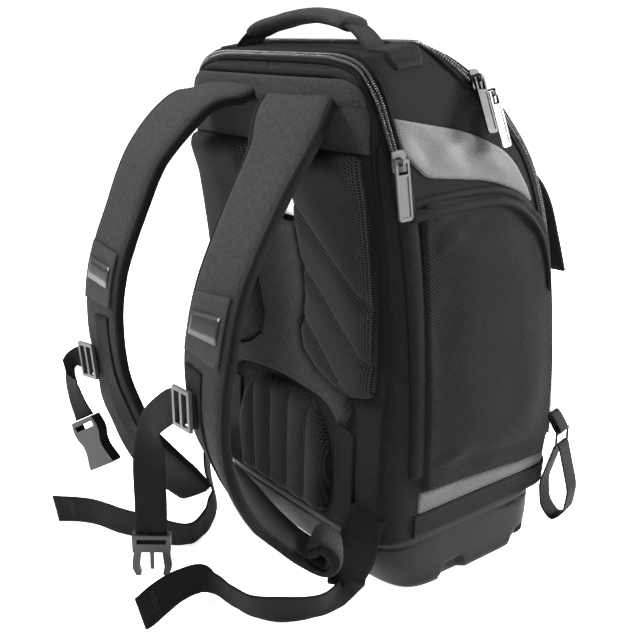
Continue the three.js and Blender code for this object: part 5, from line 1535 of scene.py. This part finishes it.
# ------------------------------------------------------------------ small parts kept from the solids
HARD = {
    "laptop_slider": (bright_metal, 0.35), "laptop_pull": (bright_metal, 0.4),
    "main_slider_upper": (dark_metal, 0.35),
    "main_pull_upper": (dark_metal, 0.4), "main_slider_lower": (bright_metal, 0.35),
    "main_pull_lower": (bright_metal, 0.4),
    "triglide_right": (bright_metal, 0.9), "triglide_left": (bright_metal, 0.9),
    "buckle_male": (grey_plastic, 0.7),
    "buckle_female": (black_plastic, 0.9), "corner_ring": (dark_metal, 0.3),
}
for node, (look, width) in HARD.items():
    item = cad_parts[node]
    item.data.materials.clear()
    item.data.materials.append(look)
    edge = item.modifiers.new("edge", "BEVEL")
    edge.width = width * MM
    edge.segments = 3
    edge.limit_method = "ANGLE"
    edge.angle_limit = math.radians(28)
    edge.harden_normals = False

make("stitching", thread_points, thread_faces, [thread], slot="webbing")
make("stitching_pale", pale_points, pale_faces, [pale_thread], slot="webbing")

# ------------------------------------------------------------------ floor, backdrop and light
floor_rows = [(-6, 0), (6, 0), (7.5, 0.35), (8.6, 1.3), (9.2, 3.0), (9.4, 8.0)]
away = Vector((-back.x, -back.y, 0)).normalized()
sideways = Vector((right.x, right.y, 0))
floor_points = [
    tuple(away * run + sideways * side + Vector((0, 0, z))) for run, z in floor_rows for side in (-14, 14)
]
floor_mesh = bpy.data.meshes.new("floor")
floor_mesh.from_pydata(
    floor_points, [], [(2 * i, 2 * i + 1, 2 * i + 3, 2 * i + 2) for i in range(len(floor_rows) - 1)],
)
floor_look, w, shader = material("floor", 0.8)
pale = w.blend(w.spread(w.noise(w.place(), 3.0, 2.0), 0.3, 0.7), (0.86, 0.86, 0.86), (0.9, 0.9, 0.9))
w.give(shader.inputs["Base Color"], pale)
shader.inputs["Emission Color"].default_value = (1, 1, 1, 1)
shader.inputs["Emission Strength"].default_value = 0.8
floor_mesh.materials.append(floor_look)
floor = bpy.data.objects.new("floor", floor_mesh)
bpy.context.collection.objects.link(floor)

# Columns: name, place, size, power in watts
LIGHTS = [
    ("key", (-1.0, -1.5, 1.7), 0.7, 125), ("side", (1.0, 1.8, 0.9), 0.7, 170),
    ("top", (0.1, 0.0, 2.3), 0.8, 90),
    ("low", (1.7, -1.5, 0.9), 0.5, 16),
]
for name, place, size, power in LIGHTS:
    data = bpy.data.lights.new(name, "AREA")
    data.shape = "DISK"
    data.size = size
    data.energy = power
    light = bpy.data.objects.new(name, data)
    light.location = place
    light.rotation_euler = (Vector((0, 0, 0.25)) - Vector(place)).to_track_quat("-Z", "Y").to_euler()
    bpy.context.collection.objects.link(light)
world = bpy.data.worlds.new("studio")
world.use_nodes = True
world.node_tree.nodes["Background"].inputs[0].default_value = (1, 1, 1, 1)
world.node_tree.nodes["Background"].inputs[1].default_value = 0.15
bpy.context.scene.world = world
bpy.context.scene.view_settings.view_transform = "Standard"
